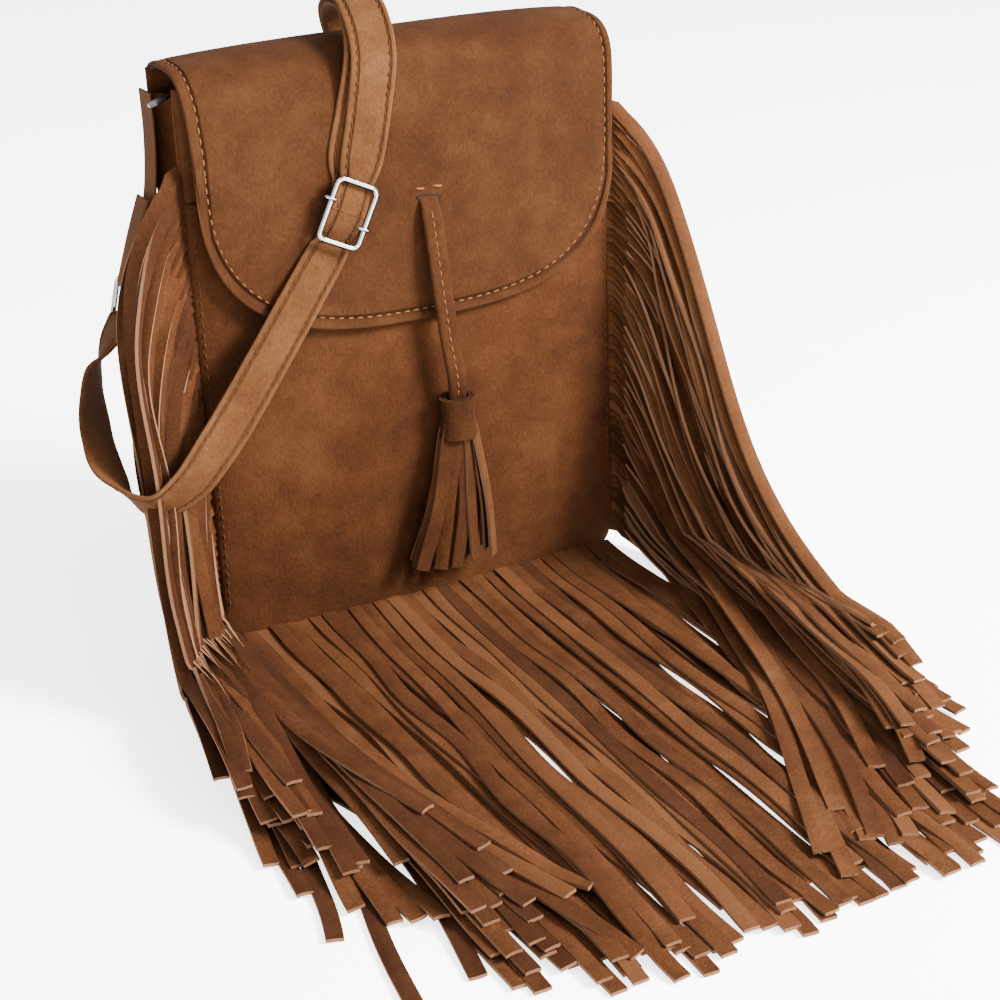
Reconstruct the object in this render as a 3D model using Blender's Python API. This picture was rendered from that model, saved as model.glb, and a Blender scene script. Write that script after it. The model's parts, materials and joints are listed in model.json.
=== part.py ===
"""Fringed suede shoulder bag: a flat pouch with a flap, zip mouth, tassel, strap and long fringe.

Metres, +Z up. The origin is the middle of the base, +X is the wearer's left of the front face,
and the front faces -Y. Run with: blender --background --python part.py
"""
import math

import bmesh
import bpy
from mathutils import Vector

# Driving dimensions
BAG_W = 0.200          # body width
BAG_D = 0.032          # body depth
PANEL_TOP = 0.246      # top edge of the front panel
BACK_TOP = 0.2535      # top edge of the back panel
CORNER_R = 0.014       # rounded bottom corners of the panels
SUEDE = 0.0012         # thickness of the suede panels
SKIN = 0.0006          # thickness of linings and tapes
GAP = 0.0003           # clearance between neighbouring pieces

POCKET_TOP = 0.202     # top seam of the front slip pocket
PLEAT = 0.0115         # how far the side gusset folds inwards
GUSSET_TOP = 0.2395

FLAP_TOP_Z = 0.2575    # outer face of the flap over the mouth
FLAP_FRONT_Y = -0.0226  # outer face of the flap on the front
FLAP_BEND_R = 0.009    # bend over the front top edge
FLAP_LOW = 0.136       # lowest point of the flap's edge
FLAP_CURVE_H = 0.070   # height over which the flap's lower corners curve
FLAP_CURVE_N = 3.2     # roundness of the flap's lower edge
HINGE = (0.0, 0.0165, 0.2550)

STRAP_W = 0.020        # shoulder strap
STRAP_PINCH_W = 0.0160  # strap width where the buckle gathers it
STRAP_T = 0.0018
LAYER = STRAP_T + 0.0004
WIRE_R = 0.00125       # buckle and ring wire
BUCKLE_W = 0.0215      # outside width
BUCKLE_L = 0.0290      # outside length along the strap

STRIP_W = 0.0062       # fringe strips
STRIP_T = 0.0013
STRIP_L = 0.300
SIDE_STRIPS = 9        # strips of the plain side bands
BOTTOM_STRIPS = 26
SEAM_X = 0.1035        # where the side fringe leaves the seam
SEAM_Y = -0.0210

ZIP_Z = 0.2452         # underside of the tooth rows
ROW_INNER = 0.0032     # half the slot between the tooth rows
ZIP_HALF = 0.084       # half length of the zip

SUEDE_BROWN = (0.27, 0.105, 0.035)
FRINGE_BROWN = (0.24, 0.088, 0.030)
LINING_TAN = (0.23, 0.11, 0.05)
TAPE_BROWN = (0.06, 0.03, 0.018)
GUNMETAL = (0.16, 0.16, 0.17)


def clear_scene():
    """Remove every object of the open file."""
    for item in list(bpy.data.objects):
        bpy.data.objects.remove(item, do_unlink=True)


def add_object(name, verts, faces, colour, rough=0.95, metal=0.0, origin=(0.0, 0.0, 0.0), smooth=False):
    """Make a mesh object whose own material carries its name, with its origin at a chosen point."""
    shift = Vector(origin)
    mesh = bpy.data.meshes.new(name)
    mesh.from_pydata([Vector(v) - shift for v in verts], [], faces)
    solid = bmesh.new()
    solid.from_mesh(mesh)
    bmesh.ops.recalc_face_normals(solid, faces=solid.faces)
    solid.to_mesh(mesh)
    solid.free()
    finish = bpy.data.materials.new(name + "_finish")
    finish.use_nodes = True
    shader = finish.node_tree.nodes["Principled BSDF"]
    shader.inputs["Base Color"].default_value = (*colour, 1.0)
    shader.inputs["Roughness"].default_value = rough
    shader.inputs["Metallic"].default_value = metal
    mesh.materials.append(finish)
    item = bpy.data.objects.new(name, mesh)
    item.location = shift
    bpy.context.scene.collection.objects.link(item)
    if smooth:
        mesh.shade_smooth()
        mesh.set_sharp_from_angle(angle=math.radians(40.0))
    return item


def thicken(points, normals, quads, thickness):
    """Turn a sheet of quads into a closed solid, half the thickness on each side."""
    count = len(points)
    half = thickness / 2
    verts = [Vector(p) + Vector(n).normalized() * half for p, n in zip(points, normals)]
    verts += [Vector(p) - Vector(n).normalized() * half for p, n in zip(points, normals)]
    faces = [tuple(q) for q in quads]
    faces += [tuple(i + count for i in reversed(q)) for q in quads]
    edges = {}
    for quad in quads:
        for a, b in zip(quad, quad[1:] + quad[:1]):
            edges[(a, b)] = True
    for a, b in edges:
        if (b, a) not in edges:
            faces.append((b, a, a + count, b + count))
    return verts, faces


def grid_sheet(rows, thickness, row_normals):
    """Closed solid from rows of points, each row the same length."""
    width = len(rows[0])
    points = [p for row in rows for p in row]
    normals = [n for row in row_normals for n in row]
    quads = []
    for r in range(len(rows) - 1):
        for c in range(width - 1):
            i = r * width + c
            quads.append([i, i + width, i + width + 1, i + 1])
    return thicken(points, normals, quads, thickness)


def prism(outline, low, high, axis):
    """Extrude an outline along Y (outline in X, Z) or along Z (outline in X, Y)."""
    count = len(outline)
    verts = []
    for level in (low, high):
        for a, b in outline:
            verts.append((a, level, b) if axis == "Y" else (a, b, level))
    area = sum(outline[i][0] * outline[(i + 1) % count][1] - outline[(i + 1) % count][0] * outline[i][1]
               for i in range(count))
    flip = (area > 0) == (axis == "Y")
    faces = [tuple(range(count)), tuple(range(2 * count - 1, count - 1, -1))]
    for i in range(count):
        j = (i + 1) % count
        faces.append((i, i + count, j + count, j))
    if not flip:
        faces = [tuple(reversed(f)) for f in faces]
    return verts, faces


def panel_outline(half_width, top, base=0.0):
    """Panel seen from the front: square top corners and rounded bottom corners."""
    points = [(half_width, top), (-half_width, top)]
    for sign, start in ((-1, math.pi), (1, 1.5 * math.pi)):
        for k in range(7):
            angle = start + k / 6 * math.pi / 2
            x = sign * (half_width - CORNER_R) + CORNER_R * math.cos(angle)
            points.append((x, base + CORNER_R + CORNER_R * math.sin(angle)))
    return points


def smooth_path(points, per_span):
    """Catmull-Rom curve through hand-placed points (any number of coordinates each)."""
    ends = [points[0]] + list(points) + [points[-1]]
    out = []
    for i in range(1, len(ends) - 2):
        p0, p1, p2, p3 = ends[i - 1:i + 3]
        for k in range(per_span):
            t = k / per_span
            out.append(tuple(0.5 * (2 * b + (c - a) * t + (2 * a - 5 * b + 4 * c - d) * t * t
                                    + (3 * b - a - 3 * c + d) * t ** 3)
                             for a, b, c, d in zip(p0, p1, p2, p3)))
    out.append(tuple(points[-1]))
    return out


def ribbon(stations, thickness):
    """Flat band along stations of (centre, facing, width)."""
    rows = []
    facings = []
    for i, (centre, facing, width) in enumerate(stations):
        ahead = Vector(stations[min(i + 1, len(stations) - 1)][0])
        behind = Vector(stations[max(i - 1, 0)][0])
        along = (ahead - behind).normalized()
        across = along.cross(Vector(facing)).normalized()
        normal = across.cross(along).normalized()
        rows.append([Vector(centre) - across * width / 2, Vector(centre) + across * width / 2])
        facings.append([normal, normal])
    return grid_sheet(rows, thickness, facings)


def wire_loop(path, radius, sides=10):
    """Closed ring of round wire along a closed path."""
    count = len(path)
    verts = []
    middle = sum((Vector(p) for p in path), Vector()) / count
    for i in range(count):
        here = Vector(path[i])
        along = (Vector(path[(i + 1) % count]) - Vector(path[i - 1])).normalized()
        outward = (here - middle)
        outward = (outward - along * outward.dot(along)).normalized()
        side = along.cross(outward)
        for k in range(sides):
            angle = 2 * math.pi * k / sides
            verts.append(here + (outward * math.cos(angle) + side * math.sin(angle)) * radius)
    faces = []
    for i in range(count):
        j = (i + 1) % count
        for k in range(sides):
            m = (k + 1) % sides
            faces.append((i * sides + k, i * sides + m, j * sides + m, j * sides + k))
    return verts, faces


def rounded_rectangle(width, length, corner):
    """Centre line of a rectangular wire loop in its own plane, with round corners."""
    points = []
    for cx, cy, start in ((1, 1, 0.0), (-1, 1, 0.5), (-1, -1, 1.0), (1, -1, 1.5)):
        for k in range(5):
            angle = (start + k / 8) * math.pi
            points.append((cx * (width / 2 - corner) + corner * math.cos(angle),
                           cy * (length / 2 - corner) + corner * math.sin(angle)))
    return points


def rod(start, end, radius, sides=10):
    """Straight round bar with flat ends."""
    start, end = Vector(start), Vector(end)
    along = (end - start).normalized()
    side = along.cross(Vector((0.0, -1.0, 0.0)))
    side = side.normalized() if side.length > 0.1 else Vector((1.0, 0.0, 0.0))
    other = along.cross(side)
    verts = []
    for centre in (start, end):
        for k in range(sides):
            angle = 2 * math.pi * k / sides
            verts.append(centre + (side * math.cos(angle) + other * math.sin(angle)) * radius)
    faces = [tuple(range(sides - 1, -1, -1)), tuple(range(sides, 2 * sides))]
    for k in range(sides):
        m = (k + 1) % sides
        faces.append((k, m, m + sides, k + sides))
    return verts, faces


def box(low, high):
    """Axis-aligned block."""
    outline = [(low[0], low[1]), (high[0], low[1]), (high[0], high[1]), (low[0], high[1])]
    return prism(outline, low[2], high[2], "Z")


# ---------------------------------------------------------------- shell of the bag

def gusset_path():
    """Points down the left side, along the bottom and up the right, as (x, z, side share)."""
    half = BAG_W / 2 - SUEDE / 2
    inner_r = CORNER_R - SUEDE / 2
    points = []
    for k in range(9):
        z = GUSSET_TOP - (GUSSET_TOP - 0.050) * k / 8
        points.append((-half, z, 1.0))
    points.append((-half, 0.035, 0.6))
    points.append((-half, 0.022, 0.2))
    for k in range(6):
        angle = math.pi + k / 5 * math.pi / 2
        points.append((-half + inner_r + inner_r * math.cos(angle),
                       CORNER_R + inner_r * math.sin(angle), 0.0))
    return points + [(-x, z, share) for x, z, share in reversed(points)]


def build_shell():
    """Front, pocket, back, gusset and lining."""
    half = BAG_W / 2
    front_y = -BAG_D / 2
    verts, faces = prism(panel_outline(half, PANEL_TOP), front_y, front_y + SUEDE, "Y")
    add_object("front_panel", verts, faces, SUEDE_BROWN)
    verts, faces = prism(panel_outline(half, POCKET_TOP), front_y - GAP - SUEDE, front_y - GAP, "Y")
    add_object("front_pocket", verts, faces, SUEDE_BROWN)
    verts, faces = prism(panel_outline(half, BACK_TOP), -front_y - SUEDE, -front_y, "Y")
    add_object("back_panel", verts, faces, SUEDE_BROWN)

    path = gusset_path()
    reach = BAG_D / 2 - SUEDE - GAP - 0.0007
    fractions = (-1.0, -0.5, 0.0, 0.5, 1.0)
    rows = []
    normals = []
    for i, (x, z, share) in enumerate(path):
        ahead = path[min(i + 1, len(path) - 1)]
        behind = path[max(i - 1, 0)]
        inward = Vector((behind[1] - ahead[1], 0.0, ahead[0] - behind[0])).normalized()
        row = []
        row_normals = []
        for f in fractions:
            depth = PLEAT * share * (1.0 - abs(f))
            row.append(Vector((x, f * reach, z)) + inward * depth)
            slope = PLEAT * share / reach * (0.0 if f == 0.0 else math.copysign(1.0, f))
            row_normals.append(inward + Vector((0.0, slope, 0.0)))
        rows.append(row)
        normals.append(row_normals)
    verts, faces = grid_sheet(rows, SUEDE, normals)
    add_object("gusset", verts, faces, SUEDE_BROWN)


def lining_section(z, inset):
    """Hourglass section of the lining at a height, as (x, y) points anticlockwise."""
    corner = CORNER_R - 0.0022 - inset
    lift = max(0.0, CORNER_R - z)
    side = BAG_W / 2 - CORNER_R + math.sqrt(max(corner ** 2 - lift ** 2, 0.0))
    depth = BAG_D / 2 - SUEDE - 0.0005 - inset
    fold = (PLEAT + 0.0006) * min(1.0, max(0.0, (z - 0.012) / 0.030))
    return [(side, -depth), (side - fold, 0.0), (side, depth), (-side, depth), (fold - side, 0.0), (-side, -depth)]


def build_lining():
    """Thin lining bag, open at the top."""
    heights = (0.0022, 0.0045, 0.009, 0.014, 0.028, 0.043, 0.140, 0.238)
    inner_heights = (0.0022 + SKIN,) + heights[1:]
    rings = [[(x, y, z) for x, y in lining_section(z, 0.0)] for z in heights]
    rings += [[(x, y, z) for x, y in lining_section(z, SKIN)] for z in reversed(inner_heights)]
    size = len(rings[0])
    verts = [v for ring in rings for v in ring]
    faces = []
    for r in range(len(rings) - 1):
        for k in range(size):
            m = (k + 1) % size
            faces.append((r * size + k, r * size + m, (r + 1) * size + m, (r + 1) * size + k))
    faces.append(tuple(reversed(range(size))))
    faces.append(tuple(range((len(rings) - 1) * size, len(rings) * size)))
    add_object("lining", verts, faces, LINING_TAN)


# ---------------------------------------------------------------- flap

def flap_edge_height(x):
    """Height of the flap's lower edge at a place across it."""
    share = min(abs(x) / (BAG_W / 2), 1.0)
    return FLAP_LOW + FLAP_CURVE_H * (1.0 - (1.0 - share ** FLAP_CURVE_N) ** (1.0 / FLAP_CURVE_N))


def flap_layer(offset, thickness, edge_inset):
    """Sheet of the flap, offset inwards from its outer face."""
    top = FLAP_TOP_Z - offset - thickness / 2
    front = FLAP_FRONT_Y + offset + thickness / 2
    bend = FLAP_BEND_R - offset - thickness / 2
    back = HINGE[1] + 0.0005
    half = BAG_W / 2 - edge_inset
    rows = []
    normals = []
    columns = 21
    for c in range(columns):
        share = -math.cos(math.pi * c / (columns - 1))
        x = half * (0.35 * 2 * (c / (columns - 1) - 0.5) + 0.65 * share)
        low = flap_edge_height(x * BAG_W / 2 / half) + edge_inset
        row = [(x, back, top), (x, (back + front) / 2, top)]
        facing = [(0, 0, 1), (0, 0, 1)]
        for k in range(5):
            angle = math.pi / 2 * k / 4
            row.append((x, front + bend - bend * math.sin(angle), top - bend + bend * math.cos(angle)))
            facing.append((0, -math.sin(angle), math.cos(angle)))
        start = top - bend
        for k in range(1, 7):
            row.append((x, front, start + (low - start) * k / 6))
            facing.append((0, -1, 0))
        rows.append(row)
        normals.append(facing)
    return grid_sheet(rows, thickness, normals)


def disc(centre, radius, depth, sides=20):
    """Round plate facing -Y."""
    outline = [(centre[0] + radius * math.cos(2 * math.pi * k / sides),
                centre[2] + radius * math.sin(2 * math.pi * k / sides)) for k in range(sides)]
    return prism(outline, centre[1] - depth / 2, centre[1] + depth / 2, "Y")


def build_flap():
    """Outer flap, its lining and the magnetic snap."""
    verts, faces = flap_layer(0.0, SUEDE, 0.0)
    add_object("flap_outer", verts, faces, SUEDE_BROWN, origin=HINGE)
    verts, faces = flap_layer(SUEDE + GAP, SKIN, 0.0012)
    add_object("flap_lining", verts, faces, LINING_TAN, origin=HINGE)
    snap = (0.003, 0.0, 0.166)
    inner = FLAP_FRONT_Y + SUEDE + SKIN + GAP
    stud_y = inner + GAP + 0.0004
    verts, faces = disc((snap[0], stud_y, snap[2]), 0.0055, 0.0008)
    add_object("snap_stud", verts, faces, GUNMETAL, 0.35, 1.0, origin=HINGE)
    socket_y = -BAG_D / 2 - GAP - SUEDE - GAP - 0.0006
    verts, faces = disc((snap[0], socket_y, snap[2]), 0.0070, 0.0012)
    add_object("snap_socket", verts, faces, GUNMETAL, 0.35, 1.0)


# ---------------------------------------------------------------- zip mouth

def tooth_row(inner, outer):
    """One row of coil teeth as a single ribbed bar along X."""
    teeth = 42
    outline = []
    for k in range(teeth):
        x0 = -ZIP_HALF + 2 * ZIP_HALF * k / teeth
        pitch = 2 * ZIP_HALF / teeth
        outline.append((x0, inner))
        outline.append((x0 + pitch * 0.55, inner))
        outline.append((x0 + pitch * 0.55, inner + (outer - inner) * 0.45))
        outline.append((x0 + pitch * 0.98, inner + (outer - inner) * 0.45))
    outline.append((ZIP_HALF, inner))
    outline.append((ZIP_HALF, outer))
    outline.append((-ZIP_HALF, outer))
    return prism(outline, ZIP_Z, ZIP_Z + 0.0014, "Z")


def build_zip():
    """Tapes, tooth rows, slider and pull across the mouth."""
    row_outer = ROW_INNER + 0.0022
    wall = BAG_D / 2 - SUEDE - GAP
    for side, word in ((-1, "front"), (1, "back")):
        near, far = side * (row_outer + GAP), side * wall
        low, high = min(near, far), max(near, far)
        verts, faces = box((-ZIP_HALF, low, ZIP_Z + 0.0004), (ZIP_HALF, high, ZIP_Z + 0.0004 + SKIN))
        add_object("zip_tape_" + word, verts, faces, TAPE_BROWN)
        verts, faces = tooth_row(side * ROW_INNER, side * row_outer)
        add_object("zip_teeth_" + word, verts, faces, TAPE_BROWN, 0.4)

    half_l, half_w, neck = 0.0045, 0.0062, ROW_INNER - GAP
    low_plate = ZIP_Z - GAP
    high_plate = ZIP_Z + 0.0014 + GAP
    outline = [(-half_w, low_plate - 0.001), (half_w, low_plate - 0.001), (half_w, low_plate), (neck, low_plate),
               (neck, high_plate), (half_w, high_plate), (half_w, high_plate + 0.001),
               (-half_w, high_plate + 0.001), (-half_w, high_plate), (-neck, high_plate),
               (-neck, low_plate), (-half_w, low_plate)]
    centre_x = -ZIP_HALF + half_l - 0.001
    count = len(outline)
    verts = [(centre_x - half_l, y, z) for y, z in outline] + [(centre_x + half_l, y, z) for y, z in outline]
    faces = [tuple(reversed(range(count))), tuple(range(count, 2 * count))]
    faces += [(i, (i + 1) % count, (i + 1) % count + count, i + count) for i in range(count)]
    add_object("zip_slider", verts, faces, GUNMETAL, 0.3, 1.0, origin=(centre_x, 0.0, ZIP_Z))

    pivot = Vector((centre_x - half_l - GAP - 0.0008, 0.0, high_plate + 0.0008))
    droop = math.radians(20.0)
    along = Vector((-math.cos(droop), 0.0, -math.sin(droop)))
    up = Vector((-math.sin(droop), 0.0, math.cos(droop)))
    width, length, thick = 0.0048, 0.0200, 0.0011
    stations = [(pivot + along * length * share, up, width * wide)
                for share, wide in ((0.0, 0.7), (0.15, 0.7), (0.3, 1.0), (0.85, 1.0), (0.96, 0.8), (1.0, 0.5))]
    verts, faces = ribbon(stations, thick)
    add_object("zip_pull", verts, faces, GUNMETAL, 0.3, 1.0, origin=pivot)


# ---------------------------------------------------------------- tassel

TASSEL_NECK_Z = 0.0835
TASSEL_END_Z = 0.0195


def build_tassel():
    """Strap, rolled head and strands of the tassel that hangs on the flap."""
    face = FLAP_FRONT_Y - GAP - 0.0008
    route = [(0.0058, face, 0.1930), (0.0064, face - 0.0006, 0.176), (0.0078, face - 0.003, 0.152),
             (0.0100, face - 0.006, 0.127), (0.0120, face - 0.0080, 0.1045)]
    stations = [(p, (0, -1, 0), 0.0090) for p in smooth_path(route, 4)]
    verts, faces = ribbon(stations, 0.0016)
    add_object("tassel_strap", verts, faces, SUEDE_BROWN, origin=HINGE)

    head = Vector((0.0124, face - 0.0085, 0.0))
    sides = 20
    verts = []
    levels = ((0.1015, 0.0075, 0.0048), (0.0995, 0.0088, 0.0058), (0.0915, 0.0092, 0.0062), (TASSEL_NECK_Z, 0.0098, 0.0064))
    for z, half_x, half_y in levels:
        for k in range(sides):
            angle = 2 * math.pi * k / sides
            verts.append((head.x + half_x * math.cos(angle), head.y + half_y * math.sin(angle), z))
    faces = [tuple(range(sides)), tuple(reversed(range(sides * (len(levels) - 1), sides * len(levels))))]
    for r in range(len(levels) - 1):
        for k in range(sides):
            m = (k + 1) % sides
            faces.append((r * sides + k, (r + 1) * sides + k, (r + 1) * sides + m, r * sides + m))
    add_object("tassel_head", verts, faces, SUEDE_BROWN, origin=HINGE, smooth=True)

    add_strands(head, TASSEL_NECK_Z - GAP)


def add_strands(head, top):
    """Strands of the tassel: a slab under the head, split into flaring strips."""
    strands = 6
    levels = (top - 0.004, 0.062, 0.042, TASSEL_END_Z)
    points = []
    quads = []

    def edge_point(share, z):
        fall = (top - z) / (top - TASSEL_END_Z)
        flare = 0.0085 + 0.0128 * fall ** 1.2
        return (head.x + flare * (2 * share - 1) - 0.0052 * fall, head.y, z)

    for z in (top, top - 0.002):
        points += [edge_point(s / strands, z) for s in range(strands + 1)]
    for s in range(strands):
        joined = strands + 1 + s
        quads.append([s, joined, joined + 1, s + 1])
        first = len(points)
        for z in levels:
            points += [edge_point((s + 0.04) / strands, z), edge_point((s + 0.96) / strands, z)]
        quads.append([joined, first, first + 1, joined + 1])
        for r in range(len(levels) - 1):
            i = first + 2 * r
            quads.append([i, i + 2, i + 3, i + 1])
    normals = [(0, -1, 0)] * len(points)
    verts, faces = thicken(points, normals, quads, 0.0050)
    add_object("tassel_strands", verts, faces, SUEDE_BROWN, origin=HINGE)


# ---------------------------------------------------------------- fringe

def comb(name, strips, header):
    """Band of strips that share a sewn header.

    strips holds, for each strip, its stations as (left point, right point, normal); header holds
    the first station moved into the seam, as (left point, right point, normal).
    """
    points = []
    normals = []
    quads = []
    starts = []
    rows = len(strips[0])
    for first, stations in zip(header, strips):
        starts.append(len(points))
        for left, right, normal in [first] + list(stations):
            points += [left, right]
            normals += [normal, normal]
        base = starts[-1]
        for r in range(rows):
            i = base + 2 * r
            quads.append([i, i + 2, i + 3, i + 1])
    for a, b in zip(starts, starts[1:]):
        quads.append([a + 1, a + 3, b + 2, b])
    verts, faces = thicken(points, normals, quads, STRIP_T)
    return add_object(name, verts, faces, FRINGE_BROWN)


def side_strip(sign, height, share):
    """Guide points of one side strip: out of the seam, down, and forward along the floor."""
    forward = 0.68 if sign > 0 else 0.12
    floor_z = 0.0070
    bulge = (0.012 + 0.014 * share) if sign > 0 else (0.012 + 0.018 * share)
    land_x = (0.080 + 0.049 * share) if sign > 0 else -(0.087 + 0.052 * share)
    land_y = SEAM_Y - (0.026 if sign > 0 else 0.014) - forward * height
    tip_x = (0.050 + 0.076 * share) if sign > 0 else -(0.060 + 0.093 * share)
    start = Vector((sign * SEAM_X, SEAM_Y, height))
    out = start + Vector((sign * bulge * 0.8, -0.004, -0.010 - 0.05 * height))
    mid_y = (start.y + land_y) * 0.42 if sign > 0 else SEAM_Y - 0.006
    mid = Vector((sign * (SEAM_X + bulge * 0.9), mid_y, height * 0.42 + 0.006))
    land = Vector((land_x, land_y, floor_z))
    spent = (out - start).length + (mid - out).length + (land - mid).length
    run = max(0.022, STRIP_L - spent)
    lean = Vector((tip_x - land_x, -run, 0.0)).normalized()
    tip = land + lean * run
    return [tuple(p) for p in (start, out, mid, land, land + lean * run * 0.5, tip)]


def build_side_fringe(sign, name):
    """Fringe sewn into one front side seam."""
    strips = []
    header = []
    for i in range(SIDE_STRIPS):
        share = i / (SIDE_STRIPS - 1)
        height = 0.020 + 0.192 * share
        guide = smooth_path(side_strip(sign, height, share), 2)
        stations = []
        for k, point in enumerate(guide):
            ahead = Vector(guide[min(k + 1, len(guide) - 1)])
            behind = Vector(guide[max(k - 1, 0)])
            along = (ahead - behind).normalized()
            turn = min(1.0, k / 3)
            across = Vector((turn, 0.0, sign * (1.0 - turn)))
            across = (across - along * across.dot(along)).normalized()
            half = STRIP_W / 2
            normal = across.cross(along) * -1.0
            left, right = Vector(point) - across * half, Vector(point) + across * half
            if k == 0:
                upright = Vector((0.0, 0.0, sign * half))
                left, right, normal = Vector(point) - upright, Vector(point) + upright, Vector((0, -1, 0))
            stations.append((left, right, normal))
        first = stations[0]
        inward = Vector((-sign * 0.0025, 0.0, 0.0))
        strips.append(stations)
        header.append((first[0] + inward, first[1] + inward, first[2]))
    if sign < 0:
        strips.reverse()
        header.reverse()
    comb(name, strips, header)


def build_bottom_fringe():
    """Fringe sewn into the bottom front seam, lying forward on the floor."""
    strips = []
    header = []
    half_span = 0.093
    for i in range(BOTTOM_STRIPS):
        share = (i + 0.5) / BOTTOM_STRIPS * 2 - 1
        x = half_span * share
        wave = 0.0002 * math.sin(i * 2.1)
        reach = STRIP_L * (0.985 + 0.015 * math.sin(i * 1.7))
        stations = []
        for part, z in ((0.0, 0.0032), (0.12, 0.0022), (0.35, 0.0020), (0.65, 0.0020), (1.0, 0.0020)):
            fan = 1.0 + 0.16 * part ** 1.3
            centre = Vector((x * fan - 0.008 * part + wave, SEAM_Y - 0.0016 - reach * part, z))
            across = Vector((STRIP_W / 2, 0.0, 0.0))
            stations.append((centre - across, centre + across, (0, 0, 1)))
        first = stations[0]
        inward = Vector((0.0, 0.0016, 0.0004))
        strips.append(stations)
        header.append((first[0] + inward, first[1] + inward, (0, 0, 1)))
    comb("fringe_bottom", strips, header)


# ---------------------------------------------------------------- strap and metalwork

BUCKLE_AT = Vector((-0.0344, FLAP_FRONT_Y - 0.0024, 0.1920))
BUCKLE_LEAN = math.radians(26.0)
ALONG = Vector((math.sin(BUCKLE_LEAN), 0.0, math.cos(BUCKLE_LEAN)))
ACROSS = Vector((math.cos(BUCKLE_LEAN), 0.0, -math.sin(BUCKLE_LEAN)))
BAR_SKEW = 0.0032
BAR_LIFT = 0.0034
RING_W = 0.0275
RING_L = 0.0180
RING_LEAN = math.radians(14.0)
RING_TOP_Z = 0.1640


def buckle_point(across, along, height):
    """Place in the buckle's own frame; height is measured out from the flap."""
    return BUCKLE_AT + ACROSS * across + ALONG * along + Vector((0.0, -height, 0.0))


def ring_frame(sign):
    """Top-bar centre, downward direction and facing of a D-ring."""
    top = Vector((sign * 0.1170, 0.0150, RING_TOP_Z))
    down = Vector((sign * math.sin(RING_LEAN), 0.0, -math.cos(RING_LEAN)))
    facing = Vector((sign * math.cos(RING_LEAN), 0.0, math.sin(RING_LEAN)))
    return top, down, facing


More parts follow.
